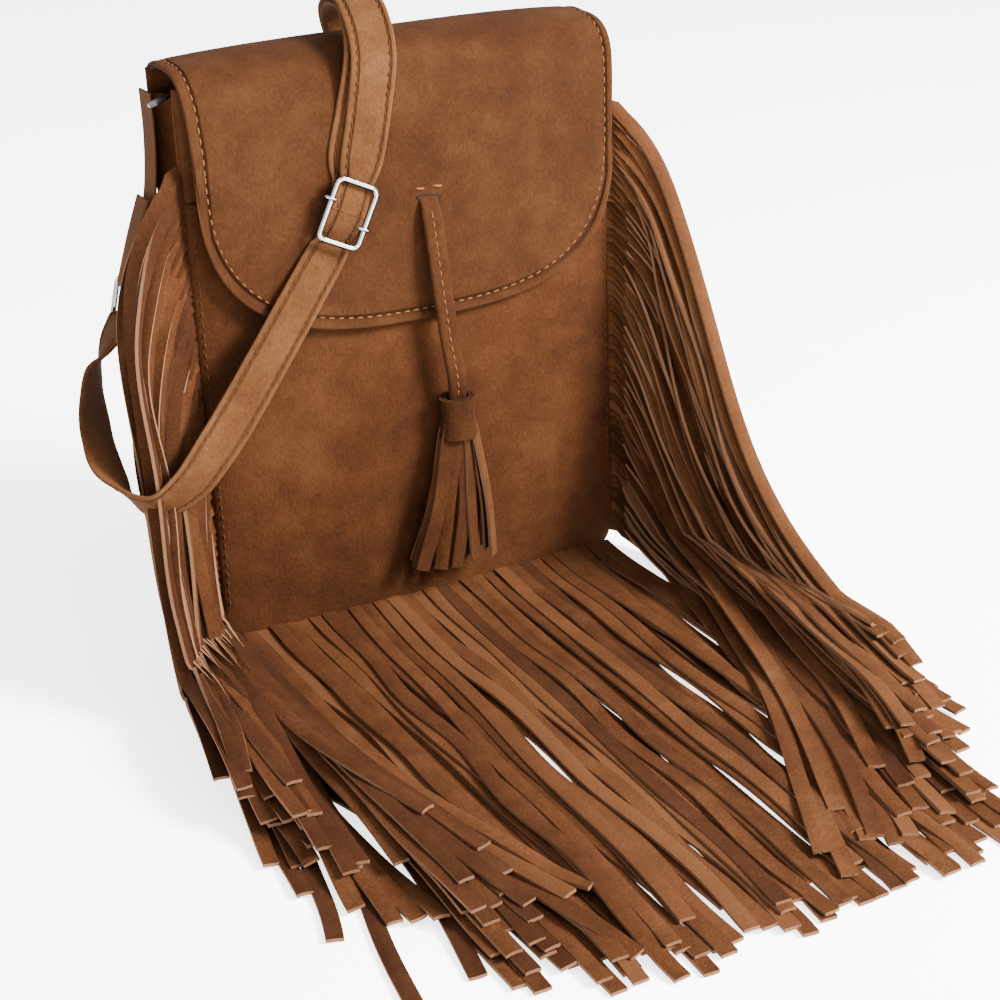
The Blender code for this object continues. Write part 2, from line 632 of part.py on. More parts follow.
def strap_route():
    """Centre line of the strap as (x, y, z, facing x, facing y, facing z, width)."""
    left_top, left_down, left_face = ring_frame(-1)
    bar = left_top + left_down * RING_L
    turn = WIRE_R + 3 * GAP + STRAP_T / 2
    wide, pinch = STRAP_W, STRAP_PINCH_W
    tail = [(bar - left_face * (turn + 0.0002) + Vector((0.004, 0.0, -0.026)), left_face, wide),
            (bar - left_face * (turn + 0.0002) + Vector((0.001, 0.0, -0.011)), left_face, wide),
            (bar - left_face * turn, left_face, wide),
            (bar - (left_face + left_down).normalized() * turn, left_face + left_down, wide),
            (bar - left_down * turn, left_down, wide),
            (bar + (left_face - left_down).normalized() * turn, left_down - left_face, wide),
            (bar + left_face * turn, -left_face, wide)]
    loop = [(Vector((-0.1300, 0.0140, 0.1385)), (1.0, 0.0, 0.2), wide),
            (Vector((-0.1375, 0.0110, 0.1280)), (0.95, 0.0, 0.3), wide),
            (Vector((-0.1440, 0.0020, 0.1165)), (0.90, 0.10, 0.4), wide),
            (Vector((-0.1490, -0.0140, 0.1070)), (0.80, 0.30, 0.5), wide),
            (Vector((-0.1490, -0.0330, 0.0970)), (0.50, 0.70, 0.45), wide),
            (Vector((-0.1370, -0.0455, 0.0885)), (0.10, 0.95, 0.25), wide),
            (Vector((-0.1205, -0.0470, 0.0940)), (0.0, 1.0, 0.1), wide),
            (Vector((-0.1050, -0.0430, 0.1065)), (0.0, 1.0, 0.0), wide),
            (Vector((-0.0850, -0.0350, 0.1250)), (0.0, 1.0, 0.0), wide)]
    low = 0.0004
    through = [(buckle_point(-0.0015, -0.0240, low + 0.0008), (0, 1, 0), wide * 0.92),
               (buckle_point(0.0, -0.0133, low + 0.0016), (0, 1, 0), pinch),
               (buckle_point(0.0, -0.0060, 0.0050), (0, 1, 0), pinch),
               (buckle_point(0.0, 0.0, 0.0058), (0, 1, 0), pinch),
               (buckle_point(0.0, 0.0060, 0.0052), (0, 1, 0), pinch),
               (buckle_point(0.0, 0.0133, 0.0034), (0, 1, 0), pinch),
               (buckle_point(-0.0012, 0.0230, 0.0030), (0, 1, 0), wide * 0.95)]
    over = [(Vector((-0.0205, FLAP_FRONT_Y - 0.0052, 0.2330)), (0, 1, 0.05), wide),
            (Vector((-0.0170, -0.0278, 0.2560)), (0, 0.9, -0.35), wide),
            (Vector((-0.0150, -0.0150, 0.2720)), (0, 0.45, -0.9), wide),
            (Vector((-0.0120, 0.0060, 0.2740)), (0, -0.1, -1.0), wide),
            (Vector((-0.0085, 0.0220, 0.2660)), (0, -0.7, -0.7), wide),
            (Vector((0.0000, 0.0300, 0.2480)), (0, -1.0, -0.2), wide),
            (Vector((0.0200, 0.0325, 0.2120)), (0, -1.0, 0.0), wide),
            (Vector((0.0560, 0.0330, 0.1700)), (-0.1, -1.0, 0.1), wide),
            (Vector((0.0920, 0.0310, 0.1340)), (-0.35, -0.85, 0.3), wide),
            (Vector((0.1205, 0.0180, 0.1260)), (-0.95, -0.20, 0.2), wide)]
    right_top, right_down, right_face = ring_frame(1)
    hook = right_top + right_down * RING_L
    back = []
    for point, facing, width in reversed(over):
        back.append((point + Vector(facing).normalized() * LAYER, tuple(-f for f in facing), width * 0.97))
    under = [(buckle_point(-0.0040, 0.0230, 0.0004), (0, -1, 0), wide * 0.93),
             (buckle_point(0.0, 0.0133, 0.0004), (0, -1, 0), pinch * 0.97),
             (buckle_point(0.0, 0.0045, 0.0006), (0, -1, 0), pinch * 0.97)]
    join = [(hook + right_face * turn, -right_face, wide),
            (hook + (right_face - right_down).normalized() * turn, right_down - right_face, wide),
            (hook - right_down * turn, right_down, wide),
            (hook - (right_face + right_down).normalized() * turn, right_down + right_face, wide),
            (hook - right_face * turn, right_face, wide)]
    rows = tail + loop + through + over + join + back + under
    return [(*p, *Vector(f).normalized(), w) for p, f, w in rows]


def build_strap():
    """Shoulder strap: one band from ring to ring, doubled back to the buckle."""
    stations = [(row[0:3], row[3:6], row[6]) for row in smooth_path(strap_route(), 3)]
    verts, faces = ribbon(stations, STRAP_T)
    add_object("shoulder_strap", verts, faces, SUEDE_BROWN)


def build_buckle():
    """Rectangular wire slider and its loose bar."""
    lift = 0.0064
    middle = buckle_point(0.0, 0.0, lift)
    path = [buckle_point(a, b, lift) for a, b in
            rounded_rectangle(BUCKLE_W - 2 * WIRE_R, BUCKLE_L - 2 * WIRE_R, 0.0030)]
    verts, faces = wire_loop(path, WIRE_R)
    add_object("buckle_frame", verts, faces, GUNMETAL, 0.22, 1.0, origin=middle, smooth=True)
    reach = BUCKLE_W / 2 - 2 * WIRE_R - GAP
    bar = rod(buckle_point(-reach, BAR_SKEW, BAR_LIFT), buckle_point(reach, -BAR_SKEW, BAR_LIFT), 0.0010)
    add_object("buckle_bar", *bar, GUNMETAL, 0.22, 1.0, origin=middle, smooth=True)


def build_rings():
    """D-rings and the folded tabs that hold them."""
    for sign, word in ((-1, "left"), (1, "right")):
        top, down, facing = ring_frame(sign)
        path = [top + down * (RING_L / 2 - b) + Vector((0.0, a, 0.0)) for a, b in
                rounded_rectangle(RING_W, RING_L, 0.0030)]
        verts, faces = wire_loop(path, WIRE_R)
        add_object("d_ring_" + word, verts, faces, GUNMETAL, 0.22, 1.0, origin=top, smooth=True)
        turn = WIRE_R + GAP + SUEDE / 2
        wall = sign * (BAG_W / 2 + GAP + SUEDE / 2)
        route = [(wall, 0.0150, 0.2440), (wall, 0.0150, 0.2240), (sign * 0.1030, 0.0150, 0.2020),
                 (sign * 0.1085, 0.0150, 0.1800)]
        fold = []
        for step in range(5):
            angle = math.pi * step / 4
            away = -facing * math.cos(angle) + down * math.sin(angle)
            fold.append((*(top + away * turn), *away))
        inner = [(*p, -sign, 0.0, 0.0) for p in route]
        outer = [(sign * 0.1150, 0.0150, 0.1800, sign, 0.0, 0.0), (sign * 0.1095, 0.0150, 0.1980, sign, 0.0, 0.0)]
        stations = [(row[0:3], row[3:6], 0.0140) for row in smooth_path(inner + fold + outer, 2)]
        verts, faces = ribbon(stations, SUEDE)
        add_object("ring_tab_" + word, verts, faces, SUEDE_BROWN)


clear_scene()
build_shell()
build_lining()
build_flap()
build_zip()
build_tassel()
build_side_fringe(-1, "fringe_left")
build_side_fringe(1, "fringe_right")
build_bottom_fringe()
build_strap()
build_buckle()
build_rings()
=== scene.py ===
"""Looks of the fringed suede shoulder bag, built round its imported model."""
from __future__ import annotations

import json
import logging
import math
import random
from dataclasses import dataclass, field
from enum import Enum
from typing import Callable, Sequence

import bpy
import numpy as np
from mathutils import Matrix, Vector, noise
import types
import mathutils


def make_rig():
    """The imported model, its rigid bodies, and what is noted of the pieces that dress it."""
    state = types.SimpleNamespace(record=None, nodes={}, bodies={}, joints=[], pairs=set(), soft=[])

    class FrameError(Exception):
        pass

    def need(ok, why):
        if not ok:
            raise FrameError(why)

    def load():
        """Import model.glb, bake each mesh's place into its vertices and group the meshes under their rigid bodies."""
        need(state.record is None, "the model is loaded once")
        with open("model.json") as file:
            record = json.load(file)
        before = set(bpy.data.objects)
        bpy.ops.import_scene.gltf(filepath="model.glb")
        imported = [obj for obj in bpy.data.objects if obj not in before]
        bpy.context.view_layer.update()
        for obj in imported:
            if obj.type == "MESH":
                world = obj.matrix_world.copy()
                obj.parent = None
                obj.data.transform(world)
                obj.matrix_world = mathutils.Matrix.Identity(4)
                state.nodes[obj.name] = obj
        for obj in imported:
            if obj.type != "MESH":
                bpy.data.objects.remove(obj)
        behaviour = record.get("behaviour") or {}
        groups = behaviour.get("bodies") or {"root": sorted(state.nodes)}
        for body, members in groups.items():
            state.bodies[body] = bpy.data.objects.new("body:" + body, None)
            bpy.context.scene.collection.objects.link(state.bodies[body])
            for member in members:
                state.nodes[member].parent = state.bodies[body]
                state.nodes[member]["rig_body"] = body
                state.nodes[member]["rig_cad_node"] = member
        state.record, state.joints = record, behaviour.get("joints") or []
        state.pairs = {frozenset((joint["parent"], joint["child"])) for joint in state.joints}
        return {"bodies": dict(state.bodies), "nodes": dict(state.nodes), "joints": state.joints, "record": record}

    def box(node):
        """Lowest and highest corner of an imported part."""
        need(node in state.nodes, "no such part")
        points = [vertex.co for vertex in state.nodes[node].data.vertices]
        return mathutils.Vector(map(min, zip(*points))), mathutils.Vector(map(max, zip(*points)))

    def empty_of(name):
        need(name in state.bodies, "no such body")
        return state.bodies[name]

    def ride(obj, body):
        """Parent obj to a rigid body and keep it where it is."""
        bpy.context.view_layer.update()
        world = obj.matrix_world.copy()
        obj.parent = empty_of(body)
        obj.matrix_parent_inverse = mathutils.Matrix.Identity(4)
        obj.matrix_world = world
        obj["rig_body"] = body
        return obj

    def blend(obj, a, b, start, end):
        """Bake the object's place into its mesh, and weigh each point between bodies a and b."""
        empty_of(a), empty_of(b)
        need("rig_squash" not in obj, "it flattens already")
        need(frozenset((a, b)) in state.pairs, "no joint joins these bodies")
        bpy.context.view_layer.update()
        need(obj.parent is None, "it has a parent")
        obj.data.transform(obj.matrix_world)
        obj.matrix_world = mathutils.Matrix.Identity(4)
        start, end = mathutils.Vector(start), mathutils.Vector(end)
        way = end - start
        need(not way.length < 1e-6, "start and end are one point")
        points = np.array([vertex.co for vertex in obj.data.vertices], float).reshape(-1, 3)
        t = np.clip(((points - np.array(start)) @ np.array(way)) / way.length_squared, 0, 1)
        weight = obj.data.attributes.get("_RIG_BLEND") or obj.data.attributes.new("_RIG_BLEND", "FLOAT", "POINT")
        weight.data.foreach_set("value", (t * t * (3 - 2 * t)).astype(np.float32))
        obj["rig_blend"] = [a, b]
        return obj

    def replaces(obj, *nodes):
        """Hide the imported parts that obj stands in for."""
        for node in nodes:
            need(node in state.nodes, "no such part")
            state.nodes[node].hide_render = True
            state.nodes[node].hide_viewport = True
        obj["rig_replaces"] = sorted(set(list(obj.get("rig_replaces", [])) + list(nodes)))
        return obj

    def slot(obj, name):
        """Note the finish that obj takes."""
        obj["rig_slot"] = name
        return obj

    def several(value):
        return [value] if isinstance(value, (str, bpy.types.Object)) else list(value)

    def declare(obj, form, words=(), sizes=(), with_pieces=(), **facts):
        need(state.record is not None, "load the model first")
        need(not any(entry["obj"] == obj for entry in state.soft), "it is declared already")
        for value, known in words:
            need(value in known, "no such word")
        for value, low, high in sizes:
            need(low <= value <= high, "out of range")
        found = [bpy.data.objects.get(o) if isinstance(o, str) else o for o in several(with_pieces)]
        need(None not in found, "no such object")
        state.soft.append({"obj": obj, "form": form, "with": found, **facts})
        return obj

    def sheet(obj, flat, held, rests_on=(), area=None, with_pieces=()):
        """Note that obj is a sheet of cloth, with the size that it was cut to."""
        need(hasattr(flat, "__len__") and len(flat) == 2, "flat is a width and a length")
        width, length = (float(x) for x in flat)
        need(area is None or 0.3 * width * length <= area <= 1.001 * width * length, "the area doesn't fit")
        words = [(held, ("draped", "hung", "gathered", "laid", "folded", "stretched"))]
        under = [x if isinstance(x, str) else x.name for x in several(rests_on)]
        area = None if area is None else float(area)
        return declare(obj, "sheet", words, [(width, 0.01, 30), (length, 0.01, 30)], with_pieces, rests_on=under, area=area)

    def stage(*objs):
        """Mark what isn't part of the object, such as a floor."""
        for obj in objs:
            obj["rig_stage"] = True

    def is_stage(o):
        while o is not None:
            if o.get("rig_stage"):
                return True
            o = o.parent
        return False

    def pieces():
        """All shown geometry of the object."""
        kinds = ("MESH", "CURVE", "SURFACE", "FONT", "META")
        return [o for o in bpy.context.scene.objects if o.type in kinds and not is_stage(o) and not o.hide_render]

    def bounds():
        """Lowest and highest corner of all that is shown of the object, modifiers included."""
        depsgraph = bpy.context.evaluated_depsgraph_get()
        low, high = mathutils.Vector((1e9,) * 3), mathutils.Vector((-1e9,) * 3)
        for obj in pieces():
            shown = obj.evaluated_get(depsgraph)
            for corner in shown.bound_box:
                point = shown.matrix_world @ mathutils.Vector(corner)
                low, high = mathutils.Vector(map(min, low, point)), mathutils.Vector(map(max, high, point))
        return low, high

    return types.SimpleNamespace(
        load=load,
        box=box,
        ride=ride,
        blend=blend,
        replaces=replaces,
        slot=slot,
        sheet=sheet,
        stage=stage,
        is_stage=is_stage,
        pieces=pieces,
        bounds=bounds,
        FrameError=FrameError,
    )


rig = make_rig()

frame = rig.load()
CAD_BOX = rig.bounds()
LOG = logging.getLogger("fringed_bag")

Point = Sequence[float]
Colour = tuple[float, float, float]


class Side(Enum):
    """The two sides of the bag, seen from in front."""

    LEFT = -1
    RIGHT = 1

    @property
    def sign(self) -> int:
        """-1 on the left and 1 on the right."""
        return self.value

    @property
    def word(self) -> str:
        """The word that node names use."""
        return self.name.lower()


class Body(str, Enum):
    """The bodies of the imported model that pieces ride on."""

    BAG = "bag"
    FLAP = "flap"
    BUCKLE_BAR = "buckle_bar"


# ------------------------------------------------------------------ shader groups


class Nodes:
    """A node tree with short calls to add and join its nodes."""

    def __init__(self, tree: bpy.types.NodeTree) -> None:
        """Keep the tree."""
        self.tree = tree

    def add(self, kind: str, **values: object) -> bpy.types.Node:
        """Add a node.

        Args:
            kind: Blender's name of the node.
            values: attributes of the node.

        Returns:
            The new node.
        """
        node = self.tree.nodes.new(kind)
        for name, value in values.items():
            setattr(node, name, value)
        return node

    def feed(self, socket: bpy.types.NodeSocket, value: object) -> None:
        """Join an output to a socket, or set the socket to a plain value."""
        if isinstance(value, bpy.types.NodeSocket):
            self.tree.links.new(value, socket)
        else:
            socket.default_value = value

    def math(self, operation: str, *values: object) -> bpy.types.NodeSocket:
        """Add a Math node and return its output."""
        node = self.add("ShaderNodeMath", operation=operation)
        for socket, value in zip(node.inputs, values):
            self.feed(socket, value)
        return node.outputs[0]

    def noise(self, vector: object, scale: object, detail: float, rough: float = 0.55) \
            -> bpy.types.NodeSocket:
        """Add a noise texture.

        Args:
            vector: where to read it.
            scale: features to the metre.
            detail: number of finer layers.
            rough: strength of the finer layers.

        Returns:
            Its value.
        """
        node = self.add("ShaderNodeTexNoise")
        self.feed(node.inputs["Vector"], vector)
        self.feed(node.inputs["Scale"], scale)
        node.inputs["Detail"].default_value = detail
        node.inputs["Roughness"].default_value = rough
        return node.outputs["Fac"]

    def span(self, value: object, low: float, high: float, to_low: float = 0.0, to_high: float = 1.0) \
            -> bpy.types.NodeSocket:
        """Map a value from one range to another, clamped.

        Args:
            value: the value.
            low: start of its range.
            high: end of its range.
            to_low: result at the start.
            to_high: result at the end.

        Returns:
            The mapped value.
        """
        node = self.add("ShaderNodeMapRange")
        for socket, item in zip(node.inputs[:5], (value, low, high, to_low, to_high)):
            self.feed(socket, item)
        return node.outputs[0]

    def mix(self, share: object, first: object, second: object, blend: str = "MIX") -> bpy.types.NodeSocket:
        """Mix two colours.

        Args:
            share: share of the second colour.
            first: the first colour.
            second: the second colour.
            blend: Blender's name of the way to mix.

        Returns:
            The mixed colour.
        """
        node = self.add("ShaderNodeMix", data_type="RGBA", blend_type=blend)
        self.feed(node.inputs[0], share)
        for socket, item in ((node.inputs[6], first), (node.inputs[7], second)):
            self.feed(socket, (*item, 1.0) if isinstance(item, tuple) and len(item) == 3 else item)
        return node.outputs[2]

    def attribute(self, name: str) -> bpy.types.NodeSocket:
        """Read a number kept on the mesh."""
        return self.add("ShaderNodeAttribute", attribute_name=name).outputs["Fac"]

    def place(self) -> bpy.types.NodeSocket:
        """Object coordinates."""
        return self.add("ShaderNodeTexCoord").outputs["Object"]

    def group(self, name: str) -> bpy.types.Node:
        """Add one of the shared groups, fed with Object coordinates."""
        node = self.add("ShaderNodeGroup", node_tree=bpy.data.node_groups[name])
        self.feed(node.inputs["Vector"], self.place())
        return node

    def stretched(self, vector: object, scale: tuple[float, float, float]) -> bpy.types.NodeSocket:
        """Scale a vector by a different number along each axis."""
        node = self.add("ShaderNodeMapping")
        self.feed(node.inputs["Vector"], vector)
        node.inputs["Scale"].default_value = scale
        return node.outputs[0]

    def bump(self, shader: bpy.types.Node, height: bpy.types.NodeSocket, distance: float) -> None:
        """Feed a height into a shader as a bump.

        Args:
            shader: the Principled shader.
            height: the height.
            distance: how deep a height of one is, in metres.
        """
        node = self.add("ShaderNodeBump")
        node.inputs["Distance"].default_value = distance
        self.feed(node.inputs["Height"], height)
        self.feed(shader.inputs["Normal"], node.outputs["Normal"])


def new_group(name: str, inputs: dict[str, tuple[str, float | tuple]], outputs: dict[str, str]) \
        -> tuple[Nodes, bpy.types.Node, bpy.types.Node]:
    """Start a shader node group.

    Args:
        name: name of the group.
        inputs: socket names with their kinds and default values.
        outputs: socket names with their kinds.

    Returns:
        The group's nodes, its input node and its output node.
    """
    tree = bpy.data.node_groups.new(name, "ShaderNodeTree")
    for label, (kind, value) in inputs.items():
        socket = tree.interface.new_socket(label, in_out="INPUT", socket_type="NodeSocket" + kind)
        if kind != "Vector":
            socket.default_value = value
    for label, kind in outputs.items():
        tree.interface.new_socket(label, in_out="OUTPUT", socket_type="NodeSocket" + kind)
    nodes = Nodes(tree)
    return nodes, nodes.add("NodeGroupInput"), nodes.add("NodeGroupOutput")


def new_material(name: str) -> tuple[bpy.types.Material, Nodes, bpy.types.Node]:
    """Start a material.

    Args:
        name: name of the material.

    Returns:
        The material, its nodes and its Principled shader.
    """
    material = bpy.data.materials.new(name)
    material.use_nodes = True
    return material, Nodes(material.node_tree), material.node_tree.nodes["Principled BSDF"]


def suede_nap_group() -> bpy.types.NodeTree:
    """Brushed nap: fine speckle, cloudy patches where the pile lies two ways, and a height."""
    nodes, start, end = new_group(
        "suede_nap",
        {"Vector": ("Vector", 0.0),
         "Pile": ("Color", (0.3, 0.1, 0.04, 1)),
         "Shade": ("Color", (0.1, 0.04, 0.02, 1)),
         "Bloom": ("Color", (0.4, 0.2, 0.1, 1)),
         "Cloud": ("Float", 0.5),
         "Speckle": ("Float", 0.5)},
        {"Color": "Color", "Roughness": "Float", "Height": "Float"})
    where = start.outputs["Vector"]
    wide = nodes.noise(where, 14.0, 3.0)
    patch = nodes.noise(where, 75.0, 4.0, 0.6)
    fibre = nodes.noise(nodes.stretched(where, (1.0, 1.0, 0.32)), 1500.0, 3.0, 0.7)
    grain = nodes.noise(where, 620.0, 3.0, 0.7)
    cloud = nodes.math("ADD", nodes.span(wide, 0.35, 0.65, -0.5, 0.5),
                       nodes.span(patch, 0.32, 0.68, -0.5, 0.5))
    cloud = nodes.math("MULTIPLY", cloud, start.outputs["Cloud"])
    speck = nodes.math("ADD", nodes.span(fibre, 0.3, 0.7, -0.5, 0.5),
                       nodes.span(grain, 0.3, 0.7, -0.35, 0.35))
    speck = nodes.math("MULTIPLY", speck, start.outputs["Speckle"])
    tone = nodes.math("ADD", cloud, speck)
    darker = nodes.mix(nodes.span(tone, 0.0, -1.0, 0.0, 1.0), start.outputs["Pile"], start.outputs["Shade"])
    colour = nodes.mix(nodes.span(tone, 0.0, 1.0, 0.0, 1.0), darker, start.outputs["Bloom"])
    nodes.feed(end.inputs["Color"], colour)
    nodes.feed(end.inputs["Roughness"], nodes.span(patch, 0.3, 0.7, 0.88, 1.0))
    height = nodes.math("ADD", nodes.math("MULTIPLY", fibre, 0.6), nodes.math("MULTIPLY", grain, 0.8))
    nodes.feed(end.inputs["Height"], height)
    return nodes.tree


def weave_group() -> bpy.types.NodeTree:
    """Plain weave: crossing threads as a height and a shade."""
    nodes, start, end = new_group(
        "plain_weave", {"Vector": ("Vector", 0.0), "Threads": ("Float", 1400.0)},
        {"Shade": "Float", "Height": "Float"})
    parts = nodes.add("ShaderNodeSeparateXYZ")
    nodes.feed(parts.inputs[0], start.outputs["Vector"])
    across = nodes.math("ADD", parts.outputs[0], parts.outputs[1])
    waves = []
    for axis in (across, parts.outputs[2]):
        angle = nodes.math("MULTIPLY", axis, start.outputs["Threads"])
        waves.append(nodes.math("SINE", angle))
    height = nodes.math("MULTIPLY", waves[0], waves[1])
    nodes.feed(end.inputs["Height"], height)
    nodes.feed(end.inputs["Shade"], nodes.span(height, -1.0, 1.0, 0.0, 1.0))
    return nodes.tree


def wear_group() -> bpy.types.NodeTree:
    """Faint smears and fine scratches on plated wire."""
    nodes, start, end = new_group("plating_wear", {"Vector": ("Vector", 0.0)},
                                  {"Mask": "Float", "Height": "Float"})
    smear = nodes.noise(start.outputs["Vector"], 260.0, 4.0)
    scratch = nodes.noise(nodes.stretched(start.outputs["Vector"], (4.0, 1.0, 0.3)), 1800.0, 2.0)
    nodes.feed(end.inputs["Mask"], nodes.span(smear, 0.4, 0.7))
    nodes.feed(end.inputs["Height"], scratch)
    return nodes.tree


# ------------------------------------------------------------------ finishes


@dataclass(frozen=True)
class Suede:
    """Suede finish.

    seam_depth is how far the leather dips along its stitch line, cut_edge is the colour of a cut
    side, and the tint switch lets single strips differ in tone at random and darken with painted shade.
    """

    name: str
    pile: Colour
    shade: Colour
    bloom: Colour
    cloud: float = 0.55
    speckle: float = 0.55
    sheen: float = 0.05
    bump: float = 0.00035
    seam_depth: float = 0.0
    cut_edge: Colour | None = None
    tinted: bool = False

    def make(self) -> bpy.types.Material:
        """Build the material."""
        material, nodes, shader = new_material(self.name)
        nap = nodes.group("suede_nap")
        for label, value in (("Pile", self.pile), ("Shade", self.shade), ("Bloom", self.bloom)):
            nap.inputs[label].default_value = (*value, 1.0)
        nap.inputs["Cloud"].default_value = self.cloud
        nap.inputs["Speckle"].default_value = self.speckle
        colour, height = self.vary(nodes, nap.outputs["Color"]), nap.outputs["Height"]
        if self.seam_depth > 0.0:
            colour, height = self.sewn(nodes, colour, height)
        nodes.feed(shader.inputs["Base Color"], colour)
        nodes.feed(shader.inputs["Roughness"], nap.outputs["Roughness"])
        nodes.bump(shader, height, self.bump)
        shader.inputs["Specular IOR Level"].default_value = 0.04
        shader.inputs["Sheen Weight"].default_value = self.sheen
        shader.inputs["Sheen Roughness"].default_value = 0.45
        shader.inputs["Sheen Tint"].default_value = (*self.bloom, 1.0)
        return material

    def vary(self, nodes: Nodes, colour: bpy.types.NodeSocket) -> bpy.types.NodeSocket:
        """Tint single strips at random and with painted shade, and pale their cut sides.

        Args:
            nodes: the material's nodes.
            colour: colour of the nap.

        Returns:
            The varied colour.
        """
        if self.tinted:
            # Painted shade: negative values mix the strip towards the darker shade colour, positive ones towards the
            # bloom colour; the value is random tone plus the painted shade of the strip's ply.
            tint = nodes.attribute("tint")
            colour = nodes.mix(nodes.span(tint, 0.0, -1.0, 0.0, 0.55), colour, self.shade)
            colour = nodes.mix(nodes.span(tint, 0.0, 1.0, 0.0, 0.45), colour, self.bloom)
        if self.cut_edge is not None:
            cut = nodes.math("MULTIPLY", nodes.attribute("cut"), 0.8)
            colour = nodes.mix(cut, colour, self.cut_edge)
        return colour

    def sewn(self, nodes: Nodes, colour: bpy.types.NodeSocket, height: bpy.types.NodeSocket) \
            -> tuple[bpy.types.NodeSocket, bpy.types.NodeSocket]:
        """Sink the stitch line and darken it with painted shade, and pale the rim, partly as rubbed wear and partly as
        a painted highlight on the rounded edge.
            colour: colour of the leather.
            height: height of the nap.

        Returns:
            The new colour and height.
        """
        inset = nodes.attribute("edge")
        groove = nodes.math("ABSOLUTE", nodes.math("SUBTRACT", inset, SEAM_INSET))
        groove = nodes.span(groove, 0.0, 0.0016, 1.0, 0.0)
        # Painted shade in the sunken stitch groove.
        colour = nodes.mix(nodes.math("MULTIPLY", groove, 0.35), colour, self.shade)
        # Paler rim: rubbed wear together with a painted highlight where the edge rounds over.
        rim = nodes.span(inset, 0.0, 0.0022, 0.35, 0.0)
        sunk = nodes.math("SUBTRACT", height, nodes.math("MULTIPLY", groove, self.seam_depth))
        return nodes.mix(rim, colour, self.bloom), sunk


@dataclass(frozen=True)
class Cloth:
    """Woven cloth or tape."""

    name: str
    colour: Colour
    dark: Colour
    threads: float = 5200.0

    def make(self) -> bpy.types.Material:
        """Build the material."""
        material, nodes, shader = new_material(self.name)
        weave = nodes.group("plain_weave")
        weave.inputs["Threads"].default_value = self.threads
        soiled = nodes.math("MULTIPLY", nodes.noise(nodes.place(), 60.0, 4.0), 0.5)
        share = nodes.math("ADD", nodes.math("MULTIPLY", weave.outputs["Shade"], 0.4), soiled)
        nodes.feed(shader.inputs["Base Color"], nodes.mix(share, self.dark, self.colour))
        shader.inputs["Roughness"].default_value = 0.85
        shader.inputs["Specular IOR Level"].default_value = 0.05
        nodes.bump(shader, weave.outputs["Height"], 0.0001)
        shader.inputs["Sheen Weight"].default_value = 0.03
        return material


@dataclass(frozen=True)
class Thread:
    """Sewing thread: twisted plies."""

    name: str
    colour: Colour
    dark: Colour

    def make(self) -> bpy.types.Material:
        """Build the material."""
        material, nodes, shader = new_material(self.name)
        where = nodes.place()
        ply = nodes.add("ShaderNodeTexWave", wave_type="BANDS", bands_direction="DIAGONAL")
        nodes.feed(ply.inputs["Vector"], where)
        ply.inputs["Scale"].default_value = 700.0
        ply.inputs["Distortion"].default_value = 1.5
        fleck = nodes.noise(where, 900.0, 2.0)
        share = nodes.math("MULTIPLY", nodes.math("ADD", ply.outputs["Fac"], fleck), 0.5)
        nodes.feed(shader.inputs["Base Color"], nodes.mix(share, self.dark, self.colour))
        shader.inputs["Roughness"].default_value = 0.7
        shader.inputs["Specular IOR Level"].default_value = 0.05
        nodes.bump(shader, ply.outputs["Fac"], 0.0001)
        return material


@dataclass(frozen=True)
class Plating:
    """Polished or dull plated metal, darkened towards the wire's grazing edges as a painted dark reflection."""

    name: str
    colour: Colour
    rough: float
    worn_rough: float

    def make(self) -> bpy.types.Material:
        """Build the material."""
        material, nodes, shader = new_material(self.name)
        wear = nodes.group("plating_wear")
        dull = tuple(c * 0.75 for c in self.colour)
        dark = tuple(c * 0.10 for c in self.colour)
        # Painted reflection: the colour fades to a tenth where the wire turns away from view, standing in for dark
        # surroundings mirrored at its edges.
        facing = nodes.add("ShaderNodeLayerWeight")
        facing.inputs["Blend"].default_value = 0.38
        worn = nodes.mix(wear.outputs["Mask"], self.colour, dull)
        nodes.feed(shader.inputs["Base Color"], nodes.mix(facing.outputs["Facing"], worn, dark))
        rough = nodes.span(wear.outputs["Mask"], 0.0, 1.0, self.rough, self.worn_rough)
        nodes.feed(shader.inputs["Roughness"], rough)
        shader.inputs["Metallic"].default_value = 1.0
        nodes.bump(shader, wear.outputs["Height"], 0.00002)
        return material


@dataclass(frozen=True)
class Plastic:
    """Moulded coil of the zip."""

    name: str
    colour: Colour

    def make(self) -> bpy.types.Material:
        """Build the material."""
        material, nodes, shader = new_material(self.name)
        mottle = nodes.noise(nodes.place(), 500.0, 3.0)
        dark = tuple(c * 0.6 for c in self.colour)
        nodes.feed(shader.inputs["Base Color"], nodes.mix(mottle, dark, self.colour))
        nodes.feed(shader.inputs["Roughness"], nodes.span(mottle, 0.3, 0.7, 0.35, 0.5))
        shader.inputs["Specular IOR Level"].default_value = 0.15
        return material


SEAM_INSET = 0.0046
BROWN = (0.0212, 0.0071, 0.0023)
BROWN_SHADE = (0.0070, 0.0020, 0.0007)
BROWN_BLOOM = (0.0375, 0.0150, 0.0058)

